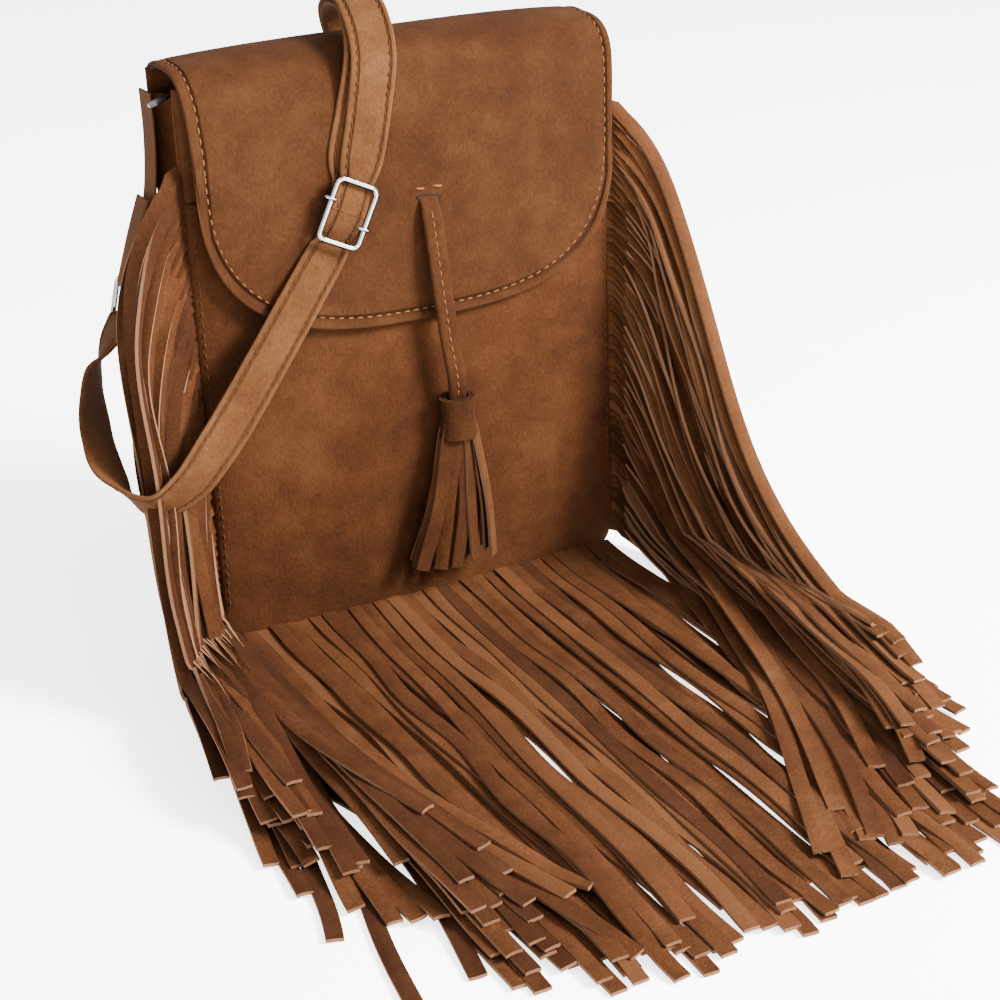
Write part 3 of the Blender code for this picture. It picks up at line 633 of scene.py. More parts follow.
FINISHES = {
    "flap": Suede("flap_suede", BROWN, BROWN_SHADE, BROWN_BLOOM, seam_depth=4.0),
    "body": Suede("body_suede", (0.0255, 0.0082, 0.0026), BROWN_SHADE, (0.0440, 0.0172, 0.0064)),
    "strap": Suede("strap_suede", (0.0420, 0.0160, 0.0056), (0.0150, 0.0048, 0.0018),
                   (0.0720, 0.0330, 0.0142), cloud=0.5, seam_depth=3.0),
    "fringe": Suede("fringe_suede", (0.0310, 0.0103, 0.0033), (0.0064, 0.0018, 0.0007),
                    (0.0640, 0.0262, 0.0105), cloud=0.45, cut_edge=(0.1150, 0.0560, 0.0300), tinted=True),
    "lining": Cloth("lining_cloth", (0.0260, 0.0124, 0.0056), (0.0120, 0.0056, 0.0026)),
    "tape": Cloth("zip_tape", (0.0080, 0.0052, 0.0038), (0.0034, 0.0024, 0.0019), threads=7000.0),
    "thread": Thread("sewing_thread", (0.1300, 0.0500, 0.0140), (0.0650, 0.0230, 0.0065)),
    "brown_thread": Thread("brown_thread", (0.0520, 0.0185, 0.0058), (0.0250, 0.0085, 0.0030)),
    "gunmetal": Plating("gunmetal_plating", (0.300, 0.300, 0.315), 0.12, 0.24),
    "zip_metal": Plating("zip_plating", (0.035, 0.034, 0.035), 0.25, 0.38),
    "snap": Plating("snap_plating", (0.140, 0.128, 0.110), 0.35, 0.5),
    "teeth": Plastic("zip_coil", (0.0095, 0.0062, 0.0046)),
}


# ------------------------------------------------------------------ mesh helpers


def make_piece(name: str, verts: np.ndarray, faces: list[tuple[int, ...]], finish: bpy.types.Material, *,
               smooth: bool = True, sharp: float | None = None,
               numbers: dict[str, tuple[str, np.ndarray]] | None = None) -> bpy.types.Object:
    """Make a mesh object at the origin.

    Args:
        name: name of the piece.
        verts: one row of X, Y and Z for each vertex.
        faces: vertex numbers of each face.
        finish: its material.
        smooth: shade it smooth.
        sharp: edges that turn by more than this many degrees stay sharp.
        numbers: attributes to keep on the mesh, as domain and values.

    Returns:
        The new object.
    """
    mesh = bpy.data.meshes.new(name)
    mesh.from_pydata([tuple(map(float, v)) for v in verts], [], faces)
    mesh.materials.append(finish)
    for label, (domain, values) in (numbers or {}).items():
        attribute = mesh.attributes.new(label, "FLOAT", domain)
        attribute.data.foreach_set("value", np.asarray(values, dtype=np.float32))
    mesh.update()
    if smooth:
        mesh.shade_smooth()
        if sharp is not None:
            mesh.set_sharp_from_angle(angle=math.radians(sharp))
    piece = bpy.data.objects.new(name, mesh)
    bpy.context.scene.collection.objects.link(piece)
    return piece


def unit(vectors: np.ndarray) -> np.ndarray:
    """Scale each row to length one."""
    return vectors / np.maximum(np.linalg.norm(vectors, axis=-1, keepdims=True), 1e-12)


def curve_through(points: Sequence[Point], steps: int) -> np.ndarray:
    """Smooth curve through points, evenly spaced along its length.

    Args:
        points: places (and any further numbers) along the curve.
        steps: how many points to return.

    Returns:
        One row for each point.
    """
    given = np.asarray(points, float)
    ends = np.vstack([2 * given[0] - given[1], given, 2 * given[-1] - given[-2]])
    fine = []
    for i in range(1, len(ends) - 2):
        p0, p1, p2, p3 = ends[i - 1:i + 3]
        t = np.linspace(0.0, 1.0, 24, endpoint=False)[:, None]
        fine.append(0.5 * (2 * p1 + (p2 - p0) * t + (2 * p0 - 5 * p1 + 4 * p2 - p3) * t ** 2
                           + (3 * p1 - p0 - 3 * p2 + p3) * t ** 3))
    fine.append(given[-1:])
    return resample(np.vstack(fine), steps)


def distance_along(path: np.ndarray) -> np.ndarray:
    """Distance from the start at each point of a path, by its first three columns."""
    return np.concatenate([[0.0], np.cumsum(np.linalg.norm(np.diff(path[:, :3], axis=0), axis=1))])


def resample(dense: np.ndarray, steps: int) -> np.ndarray:
    """Space points evenly along a polyline.

    Args:
        dense: points of the polyline, with any further numbers in further columns.
        steps: how many points to return.

    Returns:
        One row for each point.
    """
    gone = distance_along(dense)
    want = np.linspace(0.0, gone[-1], steps)
    return np.column_stack([np.interp(want, gone, dense[:, k]) for k in range(dense.shape[1])])


def band_frames(path: np.ndarray, facing: np.ndarray) -> tuple[np.ndarray, np.ndarray]:
    """Sideways and outward directions along a band."""
    along = unit(np.gradient(path, axis=0))
    across = unit(np.cross(along, facing))
    return across, unit(np.cross(across, along))


def band(path: np.ndarray, facing: np.ndarray, width: np.ndarray, section: np.ndarray) \
        -> tuple[np.ndarray, list[tuple[int, ...]]]:
    """Sweep a closed section along a path.

    Args:
        path: centre of each station.
        facing: rough outward direction of each station.
        width: half width of each station.
        section: points round the section, as share of the half width and height in metres.

    Returns:
        Vertices and faces of the closed band.
    """
    across, outward = band_frames(path, facing)
    verts = (path[:, None, :] + across[:, None, :] * (section[None, :, 0:1] * width[:, None, None])
             + outward[:, None, :] * section[None, :, 1:2]).reshape(-1, 3)
    return verts, tube_faces(len(path), len(section))


def tube_faces(rings: int, size: int, start: int = 0) -> list[tuple[int, ...]]:
    """Faces of a capped tube whose rings follow each other.

    Args:
        rings: how many rings.
        size: points round a ring.
        start: number of the first vertex.

    Returns:
        The faces.
    """
    faces = []
    for r in range(rings - 1):
        for k in range(size):
            m = (k + 1) % size
            a, b = start + r * size, start + (r + 1) * size
            faces.append((a + k, a + m, b + m, b + k))
    faces.append(tuple(start + k for k in reversed(range(size))))
    faces.append(tuple(start + (rings - 1) * size + k for k in range(size)))
    return faces


def shell_from_grid(outer: np.ndarray, inner: np.ndarray) -> tuple[np.ndarray, list[tuple[int, ...]]]:
    """Close two matching grids of points into one solid sheet.

    Args:
        outer: rows by columns of points on the outer face.
        inner: the same on the inner face.

    Returns:
        Vertices and faces.
    """
    rows, columns = outer.shape[:2]
    count = rows * columns
    verts = np.vstack([outer.reshape(-1, 3), inner.reshape(-1, 3)])
    faces = []
    for r in range(rows - 1):
        for c in range(columns - 1):
            i = r * columns + c
            quad = (i, i + 1, i + columns + 1, i + columns)
            faces.append(quad)
            faces.append(tuple(k + count for k in reversed(quad)))
    border = list(range(columns)) + [r * columns + columns - 1 for r in range(1, rows)]
    border += [(rows - 1) * columns + c for c in range(columns - 2, -1, -1)]
    border += [r * columns for r in range(rows - 2, 0, -1)]
    for k, a in enumerate(border):
        b = border[(k + 1) % len(border)]
        faces.append((b, a, a + count, b + count))
    return verts, faces


def grid_normals(grid: np.ndarray) -> np.ndarray:
    """Normals of a grid of points."""
    return unit(np.cross(np.gradient(grid, axis=1), np.gradient(grid, axis=0)))


def facing_out(verts: np.ndarray, faces: list[tuple[int, ...]]) -> list[tuple[int, ...]]:
    """Turn all faces round if the closed shape is inside out.

    Args:
        verts: its vertices.
        faces: its faces.

    Returns:
        The same faces, or turned ones.
    """
    volume = 0.0
    for face in faces:
        a = verts[face[0]]
        for i in range(1, len(face) - 1):
            volume += float(np.dot(a, np.cross(verts[face[i]], verts[face[i + 1]])))
    return faces if volume > 0 else [tuple(reversed(f)) for f in faces]


def ripple(x: float, y: float, z: float, size: float, seed: float) -> float:
    """Smooth noise of about -1 to 1 with features of a given size."""
    return noise.noise(Vector((x / size + seed, y / size - seed, z / size + 2 * seed)))


class StitchRow:
    """A row of short stitches that lie on a surface."""

    RADIUS = 0.00034
    PITCH = 0.0041
    LENGTH = 0.0031
    SPOTS = 5
    SIDES = 6

    def __init__(self, finish: bpy.types.Material) -> None:
        """Start with no stitches."""
        self.finish = finish
        self.verts: list[np.ndarray] = []
        self.faces: list[tuple[int, ...]] = []
        self.count = 0

    def run(self, path: np.ndarray, facing: np.ndarray, pitch: float = PITCH,
            length: float = LENGTH) -> None:
        """Sew along a path.

        Args:
            path: points along the row, on the surface.
            facing: outward direction at each point.
            pitch: from one stitch to the next.
            length: of one stitch.
        """
        gone = distance_along(path)
        for k in range(int(gone[-1] / pitch)):
            start = (k + 0.5) * pitch - length / 2
            spots = start + np.linspace(0.0, 1.0, self.SPOTS) * length
            line = np.column_stack([np.interp(spots, gone, path[:, i]) for i in range(3)])
            out = unit(np.column_stack([np.interp(spots, gone, facing[:, i]) for i in range(3)]))
            self.single(line, out)

    def single(self, line: np.ndarray, out: np.ndarray, radius: float = RADIUS) -> None:
        """Add one stitch, its ends dipping into the leather.

        Args:
            line: five points along it, on the surface.
            out: outward direction at each point.
            radius: radius of the thread.
        """
        rise = np.array([-0.9, 0.35, 0.65, 0.35, -0.9]) * radius
        girth = np.array([0.45, 0.95, 1.0, 0.95, 0.45]) * radius
        centre = line + out * rise[:, None]
        side = unit(np.cross(np.gradient(line, axis=0), out))
        angles = np.linspace(0.0, 2 * math.pi, self.SIDES, endpoint=False)
        ring = (side[:, None, :] * np.cos(angles)[None, :, None]
                + out[:, None, :] * np.sin(angles)[None, :, None])
        points = centre[:, None, :] + ring * girth[:, None, None]
        self.verts.append(points.reshape(-1, 3))
        self.faces += tube_faces(self.SPOTS, self.SIDES, self.count)
        self.count += self.SPOTS * self.SIDES

    def build(self, name: str) -> bpy.types.Object:
        """Make the row's mesh."""
        verts = np.vstack(self.verts)
        one = tube_faces(self.SPOTS, self.SIDES)
        if facing_out(self.verts[0], one) is not one:
            self.faces = [tuple(reversed(f)) for f in self.faces]
        return make_piece(name, verts, self.faces, self.finish)


# ------------------------------------------------------------------ the soft shell


@dataclass
class Shell:
    """Front, pocket, back, gusset and lining of the bag."""

    suede: bpy.types.Material
    cloth: bpy.types.Material
    thread: bpy.types.Material
    low: Vector = field(default_factory=lambda: Vector(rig.box("back_panel")[0]))
    high: Vector = field(default_factory=lambda: Vector(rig.box("back_panel")[1]))
    corner: float = 0.014
    thick: float = 0.0014

    @property
    def half(self) -> float:
        """Half the width of the bag."""
        return (self.high.x - self.low.x) / 2

    def lower_edge(self, x: float) -> float:
        """Height of a panel's lower edge, round at its corners."""
        past = max(0.0, abs(x) - (self.half - self.corner))
        return self.corner - math.sqrt(max(self.corner ** 2 - past ** 2, 0.0))

    def front_face(self, x: float, z: float) -> float:
        """Outward bulge of the stuffed front, with a pucker along the sewn edges.

        Args:
            x: place across the panel.
            z: height.

        Returns:
            The bulge in metres.
        """
        across = max(0.0, 1.0 - (x / self.half) ** 2)
        rise = math.exp(-((z - 0.085) / 0.085) ** 2)
        plump = 0.0066 * across ** 0.6 * rise + 0.0010 * across
        rim_side = max(0.0, self.half - abs(x))
        rim_low = max(0.0, z - self.lower_edge(x))
        tuck = 0.0016 * (math.exp(-rim_side / 0.0028) + math.exp(-rim_low / 0.0030))
        pucker = math.exp(-rim_low / 0.011) * 0.0009 * ripple(x, 0.0, 0.0, 0.0065, 3.1)
        pucker += math.exp(-rim_side / 0.010) * 0.0006 * ripple(0.0, 0.0, z, 0.012, 7.7)
        soft = 0.0010 * ripple(x, 0.0, z * 0.7, 0.045, 1.3) * min(1.0, rim_low / 0.02)
        return plump - tuck + pucker + soft

    def panel(self, name: str, node: str, top: Callable[[float], float],
              depth: Callable[[float, float], float], direction: int, columns: int, rows: int) \
            -> bpy.types.Object:
        """Build an upright panel of the shell.

        Args:
            name: name of the piece.
            node: CAD node that it stands for.
            top: height of its top edge across it.
            depth: Y of its outer face.
            direction: -1 faces forward and 1 backward.
            columns: points across.
            rows: points up.

        Returns:
            The panel.
        """
        outer = np.zeros((rows, columns, 3))
        inset = np.zeros((rows, columns))
        for c in range(columns):
            share = 2 * c / (columns - 1) - 1
            x = self.half * (0.55 * share + 0.45 * math.sin(share * math.pi / 2))
            base, lid = self.lower_edge(x), top(x)
            for r in range(rows):
                t = r / (rows - 1)
                t = 0.5 * t + 0.5 * (0.5 - 0.5 * math.cos(math.pi * t))
                z = base + (lid - base) * t
                outer[r, c] = (x, depth(x, z), z)
                inset[r, c] = min(self.half - abs(x), z - base, lid - z)
        inner = outer.copy()
        rounding = np.sqrt(np.clip(1 - (1 - np.clip(inset / 0.0012, 0, 1)) ** 2, 0.0, 1.0))
        outer[:, :, 1] -= direction * self.thick * 0.4 * (1 - rounding)
        inner[:, :, 1] -= direction * self.thick * (0.6 + 0.4 * rounding)
        verts, faces = shell_from_grid(outer, inner)
        numbers = {"edge": ("POINT", np.concatenate([inset.ravel(), inset.ravel()]))}
        piece = make_piece(name, verts, facing_out(verts, faces), self.suede, sharp=60.0, numbers=numbers)
        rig.replaces(piece, node)
        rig.ride(piece, Body.BAG)
        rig.slot(piece, "suede")
        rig.sheet(piece, flat=(2 * self.half, top(0.0)), held="stretched")
        return piece

    def build_panels(self) -> None:
        """Front, pocket and back."""
        pocket_low, pocket_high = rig.box("front_pocket")
        front_low, front_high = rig.box("front_panel")
        face = pocket_low[1]
        self.panel("pocket_suede", "front_pocket", lambda x: pocket_high[2] - 0.0006 * math.cos(x * 30),
                   lambda x, z: face - self.front_face(x, z), -1, 110, 110)
        upper = front_high[2]
        self.panel("front_suede", "front_panel",
                   lambda x: upper + 0.002 * (abs(x) / self.half) ** 3 - 0.0015 * math.cos(x * 28),
                   lambda x, z: front_low[1] - 0.62 * self.front_face(x, z) + 0.0002
                   + 0.0010 * ripple(x, 0.0, z, 0.03, 5.0) * max(0.0, (z - 0.20) / 0.046), -1, 80, 70)
        back = self.high.y
        self.panel("back_suede", "back_panel", lambda x: self.high.z,
                   lambda x, z: back + 0.55 * self.front_face(x, z) * max(0.0, 1 - z / self.high.z) ** 0.3,
                   1, 80, 80)

    def gusset_section(self, share: float, z: float) -> list[tuple[float, float]]:
        """Section of the gusset, with seam edges turned outwards.

        Args:
            share: how far the pleat is folded in.
            z: height, which moves the sag about.

        Returns:
            Points as depth inwards and Y.
        """
        reach = self.high.y - 0.0021
        fold = 0.0125 * share
        points = [(-0.0010, -reach - 0.0005), (0.0005, -reach + 0.0006)]
        for k in range(1, 12):
            f = k / 6 - 1
            sag = 0.0011 * ripple(0.0, f * 0.02, z, 0.020, 4.0) * (1 - abs(f)) * (0.3 + share)
            points.append((0.0009 + fold * (1 - abs(f)) ** 1.15 + sag, f * reach))
        return points + [(0.0005, reach - 0.0006), (-0.0010, reach + 0.0005)]

    def build_gusset(self) -> None:
        """Pleated side and bottom strip."""
        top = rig.box("gusset")[1][2] + 0.0035
        half, radius = self.half - 0.0007, self.corner - 0.0007
        spots: list[tuple[float, float, float, float, float]] = []
        for k in range(60):
            z = top - (top - self.corner) * k / 60
            share = min(1.0, max(0.0, (z - self.corner) / 0.035))
            spots.append((-half, z, 1.0, 0.0, share * share * (3 - 2 * share)))
        for k in range(9):
            angle = math.pi + k / 8 * math.pi / 2
            spots.append((-half + radius + radius * math.cos(angle), self.corner + radius * math.sin(angle),
                          -math.cos(angle), -math.sin(angle), 0.0))
        for k in range(1, 20):
            spots.append((-half + radius + (half - radius) * k / 20, self.corner - radius, 0.0, 1.0, 0.0))
        spots += [(-x, z, -nx, nz, share) for x, z, nx, nz, share in reversed(spots)]
        rows = []
        for x, z, nx, nz, share in spots:
            rows.append([(x + nx * d, y, z + nz * d) for d, y in self.gusset_section(share, z + x)])
        outer = np.array(rows)
        outer[:, :, 2] = np.maximum(outer[:, :, 2], 0.0004)
        normals = grid_normals(outer)
        centre = np.array([0.0, 0.0, 0.12])
        if np.sum(normals[5, 7] * (outer[5, 7] - centre)) < 0:
            normals = -normals
        inner = outer - normals * 0.0010
        verts, faces = shell_from_grid(outer, inner)
        piece = make_piece("gusset_suede", verts, facing_out(verts, faces), self.suede, sharp=70.0)
        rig.replaces(piece, "gusset")
        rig.ride(piece, Body.BAG)
        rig.slot(piece, "suede")
        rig.sheet(piece, flat=(2 * self.high.y + 0.008, 2 * top + 2 * half), held="folded")

    def build_lining(self) -> None:
        """Lining bag with small creases, open at the mouth."""
        low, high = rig.box("lining")
        rings = []
        levels = np.concatenate([np.linspace(low[2], 0.03, 8), np.linspace(0.045, high[2] + 0.003, 26)])
        for inset, order in ((0.0, levels), (0.0006, levels[::-1])):
            for z in order:
                lift = max(0.0, self.corner - z)
                radius = self.corner - 0.0022 - inset
                side = self.half - self.corner + math.sqrt(max(radius ** 2 - lift ** 2, 0.0))
                fold = 0.0130 * min(1.0, max(0.0, (z - 0.012) / 0.03))
                depth = high[1] - inset - 0.0004
                ring = []
                for k in range(24):
                    t = k / 23 * 2 - 1
                    ring.append((t * side, -depth + 0.0006 * (1 + ripple(t, 0.0, z * 12, 0.3, 2.0))))
                ring += [(side - fold * 0.55, -depth * 0.5), (side - fold, 0.0),
                         (side - fold * 0.55, depth * 0.5)]
                for k in range(24):
                    t = 1 - k / 23 * 2
                    ring.append((t * side, depth - 0.0006 * (1 + ripple(t, 0.4, z * 12, 0.3, 2.0))))
                ring += [(fold * 0.55 - side, depth * 0.5), (fold - side, 0.0),
                         (fold * 0.55 - side, -depth * 0.5)]
                base = max(z, low[2] + inset)
                rings.append([(x, y, base) for x, y in ring])
        verts = np.array(rings).reshape(-1, 3)
        faces = tube_faces(len(rings), len(rings[0]))
        piece = make_piece("lining_bag", verts, facing_out(verts, faces), self.cloth, sharp=50.0)
        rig.replaces(piece, "lining")
        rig.ride(piece, Body.BAG)
        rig.slot(piece, "lining_cloth")
        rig.sheet(piece, flat=(0.42, high[2]), held="stretched")

    def build_stitches(self) -> None:
        """Rows beside the front side seams."""
        rows = StitchRow(self.thread)
        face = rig.box("front_pocket")[0][1]
        for side in Side:
            z = np.linspace(0.020, 0.198, 60)
            x = np.full_like(z, side.sign * (self.half - 0.0030))
            y = np.array([face - self.front_face(a, b) for a, b in zip(x, z)])
            rows.run(np.column_stack([x, y, z]), np.tile([0.0, -1.0, 0.0], (60, 1)), 0.0046, 0.0030)
        piece = rows.build("seam_stitches")
        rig.ride(piece, Body.BAG)
        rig.slot(piece, "suede")

    def build(self) -> None:
        """Build every piece of the shell."""
        self.build_panels()
        self.build_gusset()
        self.build_lining()
        self.build_stitches()


# ------------------------------------------------------------------ flap


@dataclass
class Flap:
    """Folded flap with its lining, its edge stitching and the slit that holds the tassel."""

    suede: bpy.types.Material
    cloth: bpy.types.Material
    thread: bpy.types.Material
    rim: bpy.types.Material
    half: float = 0.0990
    low: float = 0.1385
    curve_height: float = 0.0720
    roundness: float = 3.0
    thick: float = 0.0020
    slit_x: float = 0.0052
    slit_z: float = 0.1915

    PROFILE = ((0.0172, 0.2480), (0.0166, 0.2535), (0.0125, 0.2573), (0.0040, 0.2588), (-0.0060, 0.2580),
               (-0.0150, 0.2545), (-0.0210, 0.2475), (-0.0234, 0.2360), (-0.0236, 0.2150), (-0.0234, 0.1900),
               (-0.0236, 0.1650), (-0.0240, 0.1480), (-0.0240, 0.1250))

    def __post_init__(self) -> None:
        """Lay out the profile from the back seam over the mouth and down the front."""
        upright = np.column_stack([np.zeros(len(self.PROFILE)), np.array(self.PROFILE)])
        self.line = curve_through(upright, 400)[:, 1:]
        self.gone = distance_along(self.line)
        front = self.line[:, 0] < -0.02
        self.front_z = self.line[front, 1]
        self.front_s = self.gone[front]

    def edge_length(self, x: float) -> float:
        """How far down the profile the flap's edge lies at a place across it."""
        share = min(abs(x) / self.half, 1.0)
        rise = 1.0 - (1.0 - share ** self.roundness) ** (1.0 / self.roundness)
        z = self.low + self.curve_height * rise + 0.004 * (x / self.half) ** 2 * (x < 0)
        return float(np.interp(-z, -self.front_z, self.front_s))

    def surface(self, x: float, s: float) -> tuple[float, float, float]:
        """Middle of the leather.

        Args:
            x: place across the flap.
            s: distance along its profile from the back seam.

        Returns:
            The place in world coordinates.
        """
        y = float(np.interp(s, self.gone, self.line[:, 0]))
        z = float(np.interp(s, self.gone, self.line[:, 1]))
        share = abs(x) / self.half
        over = max(0.0, 1.0 - abs(s - 0.024) / 0.034)
        z -= 0.0036 * share ** 5 * over
        down = min(1.0, max(0.0, (s - 0.045) / 0.03))
        y -= down * (0.0016 * (1 - share ** 2) + 0.0006 * ripple(x, 0.0, s, 0.06, 2.2))
        z += 0.0006 * ripple(x, s, 0.0, 0.05, 9.1) * over
        curl = max(0.0, s - (self.edge_length(x) - 0.014)) / 0.014
        y -= 0.0010 * curl ** 2 * down
        return x * (1.0 - 0.012 * down) + 0.0008 * down, y, z

    def place(self, x: float, s: float) -> tuple[np.ndarray, np.ndarray]:
        """Point on the flap and its outward direction."""
        step = 0.0004
        here = np.array(self.surface(x, s))
        ahead = np.array(self.surface(x, s + step)) - np.array(self.surface(x, s - step))
        beside = np.array(self.surface(x + step, s)) - np.array(self.surface(x - step, s))
        return here, unit(np.cross(ahead, beside)[None])[0]

    def sheet(self, name: str, node: str, finish: bpy.types.Material, inset: float, near: float,
              far: float) -> bpy.types.Object:
        """Build one layer of the flap.

        Args:
            name: name of the piece.
            node: CAD node that it stands for.
            finish: its material.
            inset: how far its edge lies inside the flap's edge.
            near: height of its outer face over the middle of the leather.
            far: height of its inner face.

        Returns:
            The layer.
        """
        rims = np.array([0.0, 0.00015, 0.0005, 0.0010, 0.0017])
        half = self.half - inset
        middle = np.linspace(-1.0, 1.0, 84) * (half - 0.003)
        middle = np.sign(middle) * np.abs(middle) ** 0.92 * (half - 0.003) ** 0.08
        across = np.concatenate([-half + rims, middle, (half - rims)[::-1]])
        down_rims = np.array([0.0030, 0.0017, 0.0010, 0.0005, 0.00015, 0.0])
        outer = np.zeros((92, len(across), 3))
        inner = np.zeros_like(outer)
        depth = np.zeros(outer.shape[:2])
        mid = (near + far) / 2
        for c, x in enumerate(across):
            end = self.edge_length(x * self.half / half) - inset
            rows = np.concatenate([np.linspace(0.0, end - 0.0036, 86), end - down_rims])
            slope = (self.edge_length(min(x + 0.0005, self.half))
                     - self.edge_length(max(x - 0.0005, -self.half))) / 0.001
            for r, s in enumerate(rows):
                here, out = self.place(x, s)
                depth[r, c] = min(half - abs(x), (end - s) / math.sqrt(1 + slope * slope))
                soft = math.sqrt(max(0.0, 1 - (1 - min(1.0, depth[r, c] / 0.0014)) ** 2))
                dip = 0.00035 * math.exp(-((depth[r, c] - SEAM_INSET + inset) / 0.0013) ** 2)
                outer[r, c] = here + out * (mid + (near - mid) * soft - dip)
                inner[r, c] = here + out * (mid + (far - mid) * soft)
        verts, faces = shell_from_grid(outer, inner)
        numbers = {"edge": ("POINT", np.concatenate([depth.ravel(), depth.ravel()]))}
        piece = make_piece(name, verts, facing_out(verts, faces), finish, sharp=75.0, numbers=numbers)
        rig.replaces(piece, node)
        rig.ride(piece, Body.FLAP)
        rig.sheet(piece, flat=(2 * half, self.edge_length(0.0)), held="folded")
        return piece

    def stitch_line(self) -> tuple[np.ndarray, np.ndarray]:
        """Points and outward directions of the row that follows the flap's edge."""
        inset = SEAM_INSET
        spots: list[tuple[float, float]] = []
        half = self.half - inset
        corner_s = self.edge_length(self.half)
        for s in np.linspace(0.012, corner_s - 0.004, 50):
            spots.append((-half, s))
        for angle in np.linspace(0.0, math.pi, 260)[1:-1]:
            x = -half * math.copysign(abs(math.cos(angle)) ** (2 / self.roundness), math.cos(angle))
            spots.append((x, self.edge_length(x * self.half / half) - inset))
        for s in np.linspace(corner_s - 0.004, 0.012, 50):
            spots.append((half, s))
        places = [self.place(x, s) for x, s in spots]
        path = np.array([p for p, _ in places])
        out = np.array([n for _, n in places])
        return path + out * (self.thick * 0.5 - 0.00035), out

    def build(self) -> None:
        """Build the flap's layers, stitches, slit and tacks."""
        outer = self.sheet("flap_leather", "flap_outer", self.suede, 0.0,
                           self.thick * 0.5, -self.thick * 0.3)
        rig.slot(outer, "suede")
        lining = self.sheet("flap_backing", "flap_lining", self.cloth, 0.0010,
                            -self.thick * 0.36, -self.thick * 0.75)
        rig.slot(lining, "lining_cloth")
        rows = StitchRow(self.thread)
        path, out = self.stitch_line()
        rows.run(path, out, 0.0044, 0.0033)
        for shift in (-0.0042, 0.0042):
            middle, normal = self.front_place(self.slit_x + shift, self.slit_z + 0.0045)
            side = np.array([1.0, 0.0, -0.12])
            line = middle + normal * self.thick * 0.5 + np.linspace(-0.0026, 0.0026, 5)[:, None] * side
            rows.single(line, np.tile(normal, (5, 1)), 0.00055)
        stitches = rows.build("flap_stitches")
        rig.ride(stitches, Body.FLAP)
        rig.slot(stitches, "suede")
        self.build_slit()

    def front_place(self, x: float, z: float) -> tuple[np.ndarray, np.ndarray]:
        """Point on the front of the flap at a height."""
        return self.place(x, float(np.interp(-z, -self.front_z, self.front_s)))

    def build_slit(self) -> None:
        """Thin pale rim of the slit that the tassel strap comes out of."""
        middle, normal = self.front_place(self.slit_x, self.slit_z)
        middle = middle + normal * self.thick * 0.5
        steps, sides = 28, 6
        points = []
        for k in range(steps):
            angle = 2 * math.pi * k / steps
            points.append(middle + np.array([0.0058 * math.cos(angle), 0.0, 0.0011 * math.sin(angle)
                                             - 0.0007 * math.cos(angle)]))
        ring = np.array(points)
        along = unit(np.roll(ring, -1, axis=0) - np.roll(ring, 1, axis=0))
        side = np.cross(along, normal)
        angles = np.linspace(0.0, 2 * math.pi, sides, endpoint=False)
        shape = (side[:, None, :] * np.cos(angles)[None, :, None] * 0.00035
                 + normal[None, None, :] * np.sin(angles)[None, :, None] * 0.00030)
        verts = (ring[:, None, :] + shape).reshape(-1, 3)
        faces = []
        for r in range(steps):
            for k in range(sides):
                m, n = (k + 1) % sides, (r + 1) % steps
                faces.append((r * sides + k, r * sides + m, n * sides + m, n * sides + k))
        piece = make_piece("slit_rim", verts, facing_out(verts, faces), self.rim)
        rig.ride(piece, Body.FLAP)
        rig.slot(piece, "zip_tape")


# ------------------------------------------------------------------ fringe


CYCLE = 6.28  # one full wave, in radians


class FloorMap:
    """Heights of what already lies on the floor, so that strips stack."""

    CELL = 0.0012

    def __init__(self) -> None:
        """Cover the floor in front of and beside the bag."""
        self.origin = np.array([-0.20, -0.36])
        self.heights = np.zeros((int(0.40 / self.CELL), int(0.38 / self.CELL)))

    def cells(self, points: np.ndarray) -> tuple[np.ndarray, np.ndarray]:
        """Rows and columns of the map under some points."""
        index = ((points - self.origin) / self.CELL).astype(int)
        return (np.clip(index[:, 0], 0, self.heights.shape[0] - 1),
                np.clip(index[:, 1], 0, self.heights.shape[1] - 1))

    def under(self, points: np.ndarray) -> np.ndarray:
        """Height of the pile under each point."""
        return self.heights[self.cells(points)]

    def lay(self, points: np.ndarray, tops: np.ndarray) -> None:
        """Raise the pile to the given tops."""
        np.maximum.at(self.heights, self.cells(points), tops)


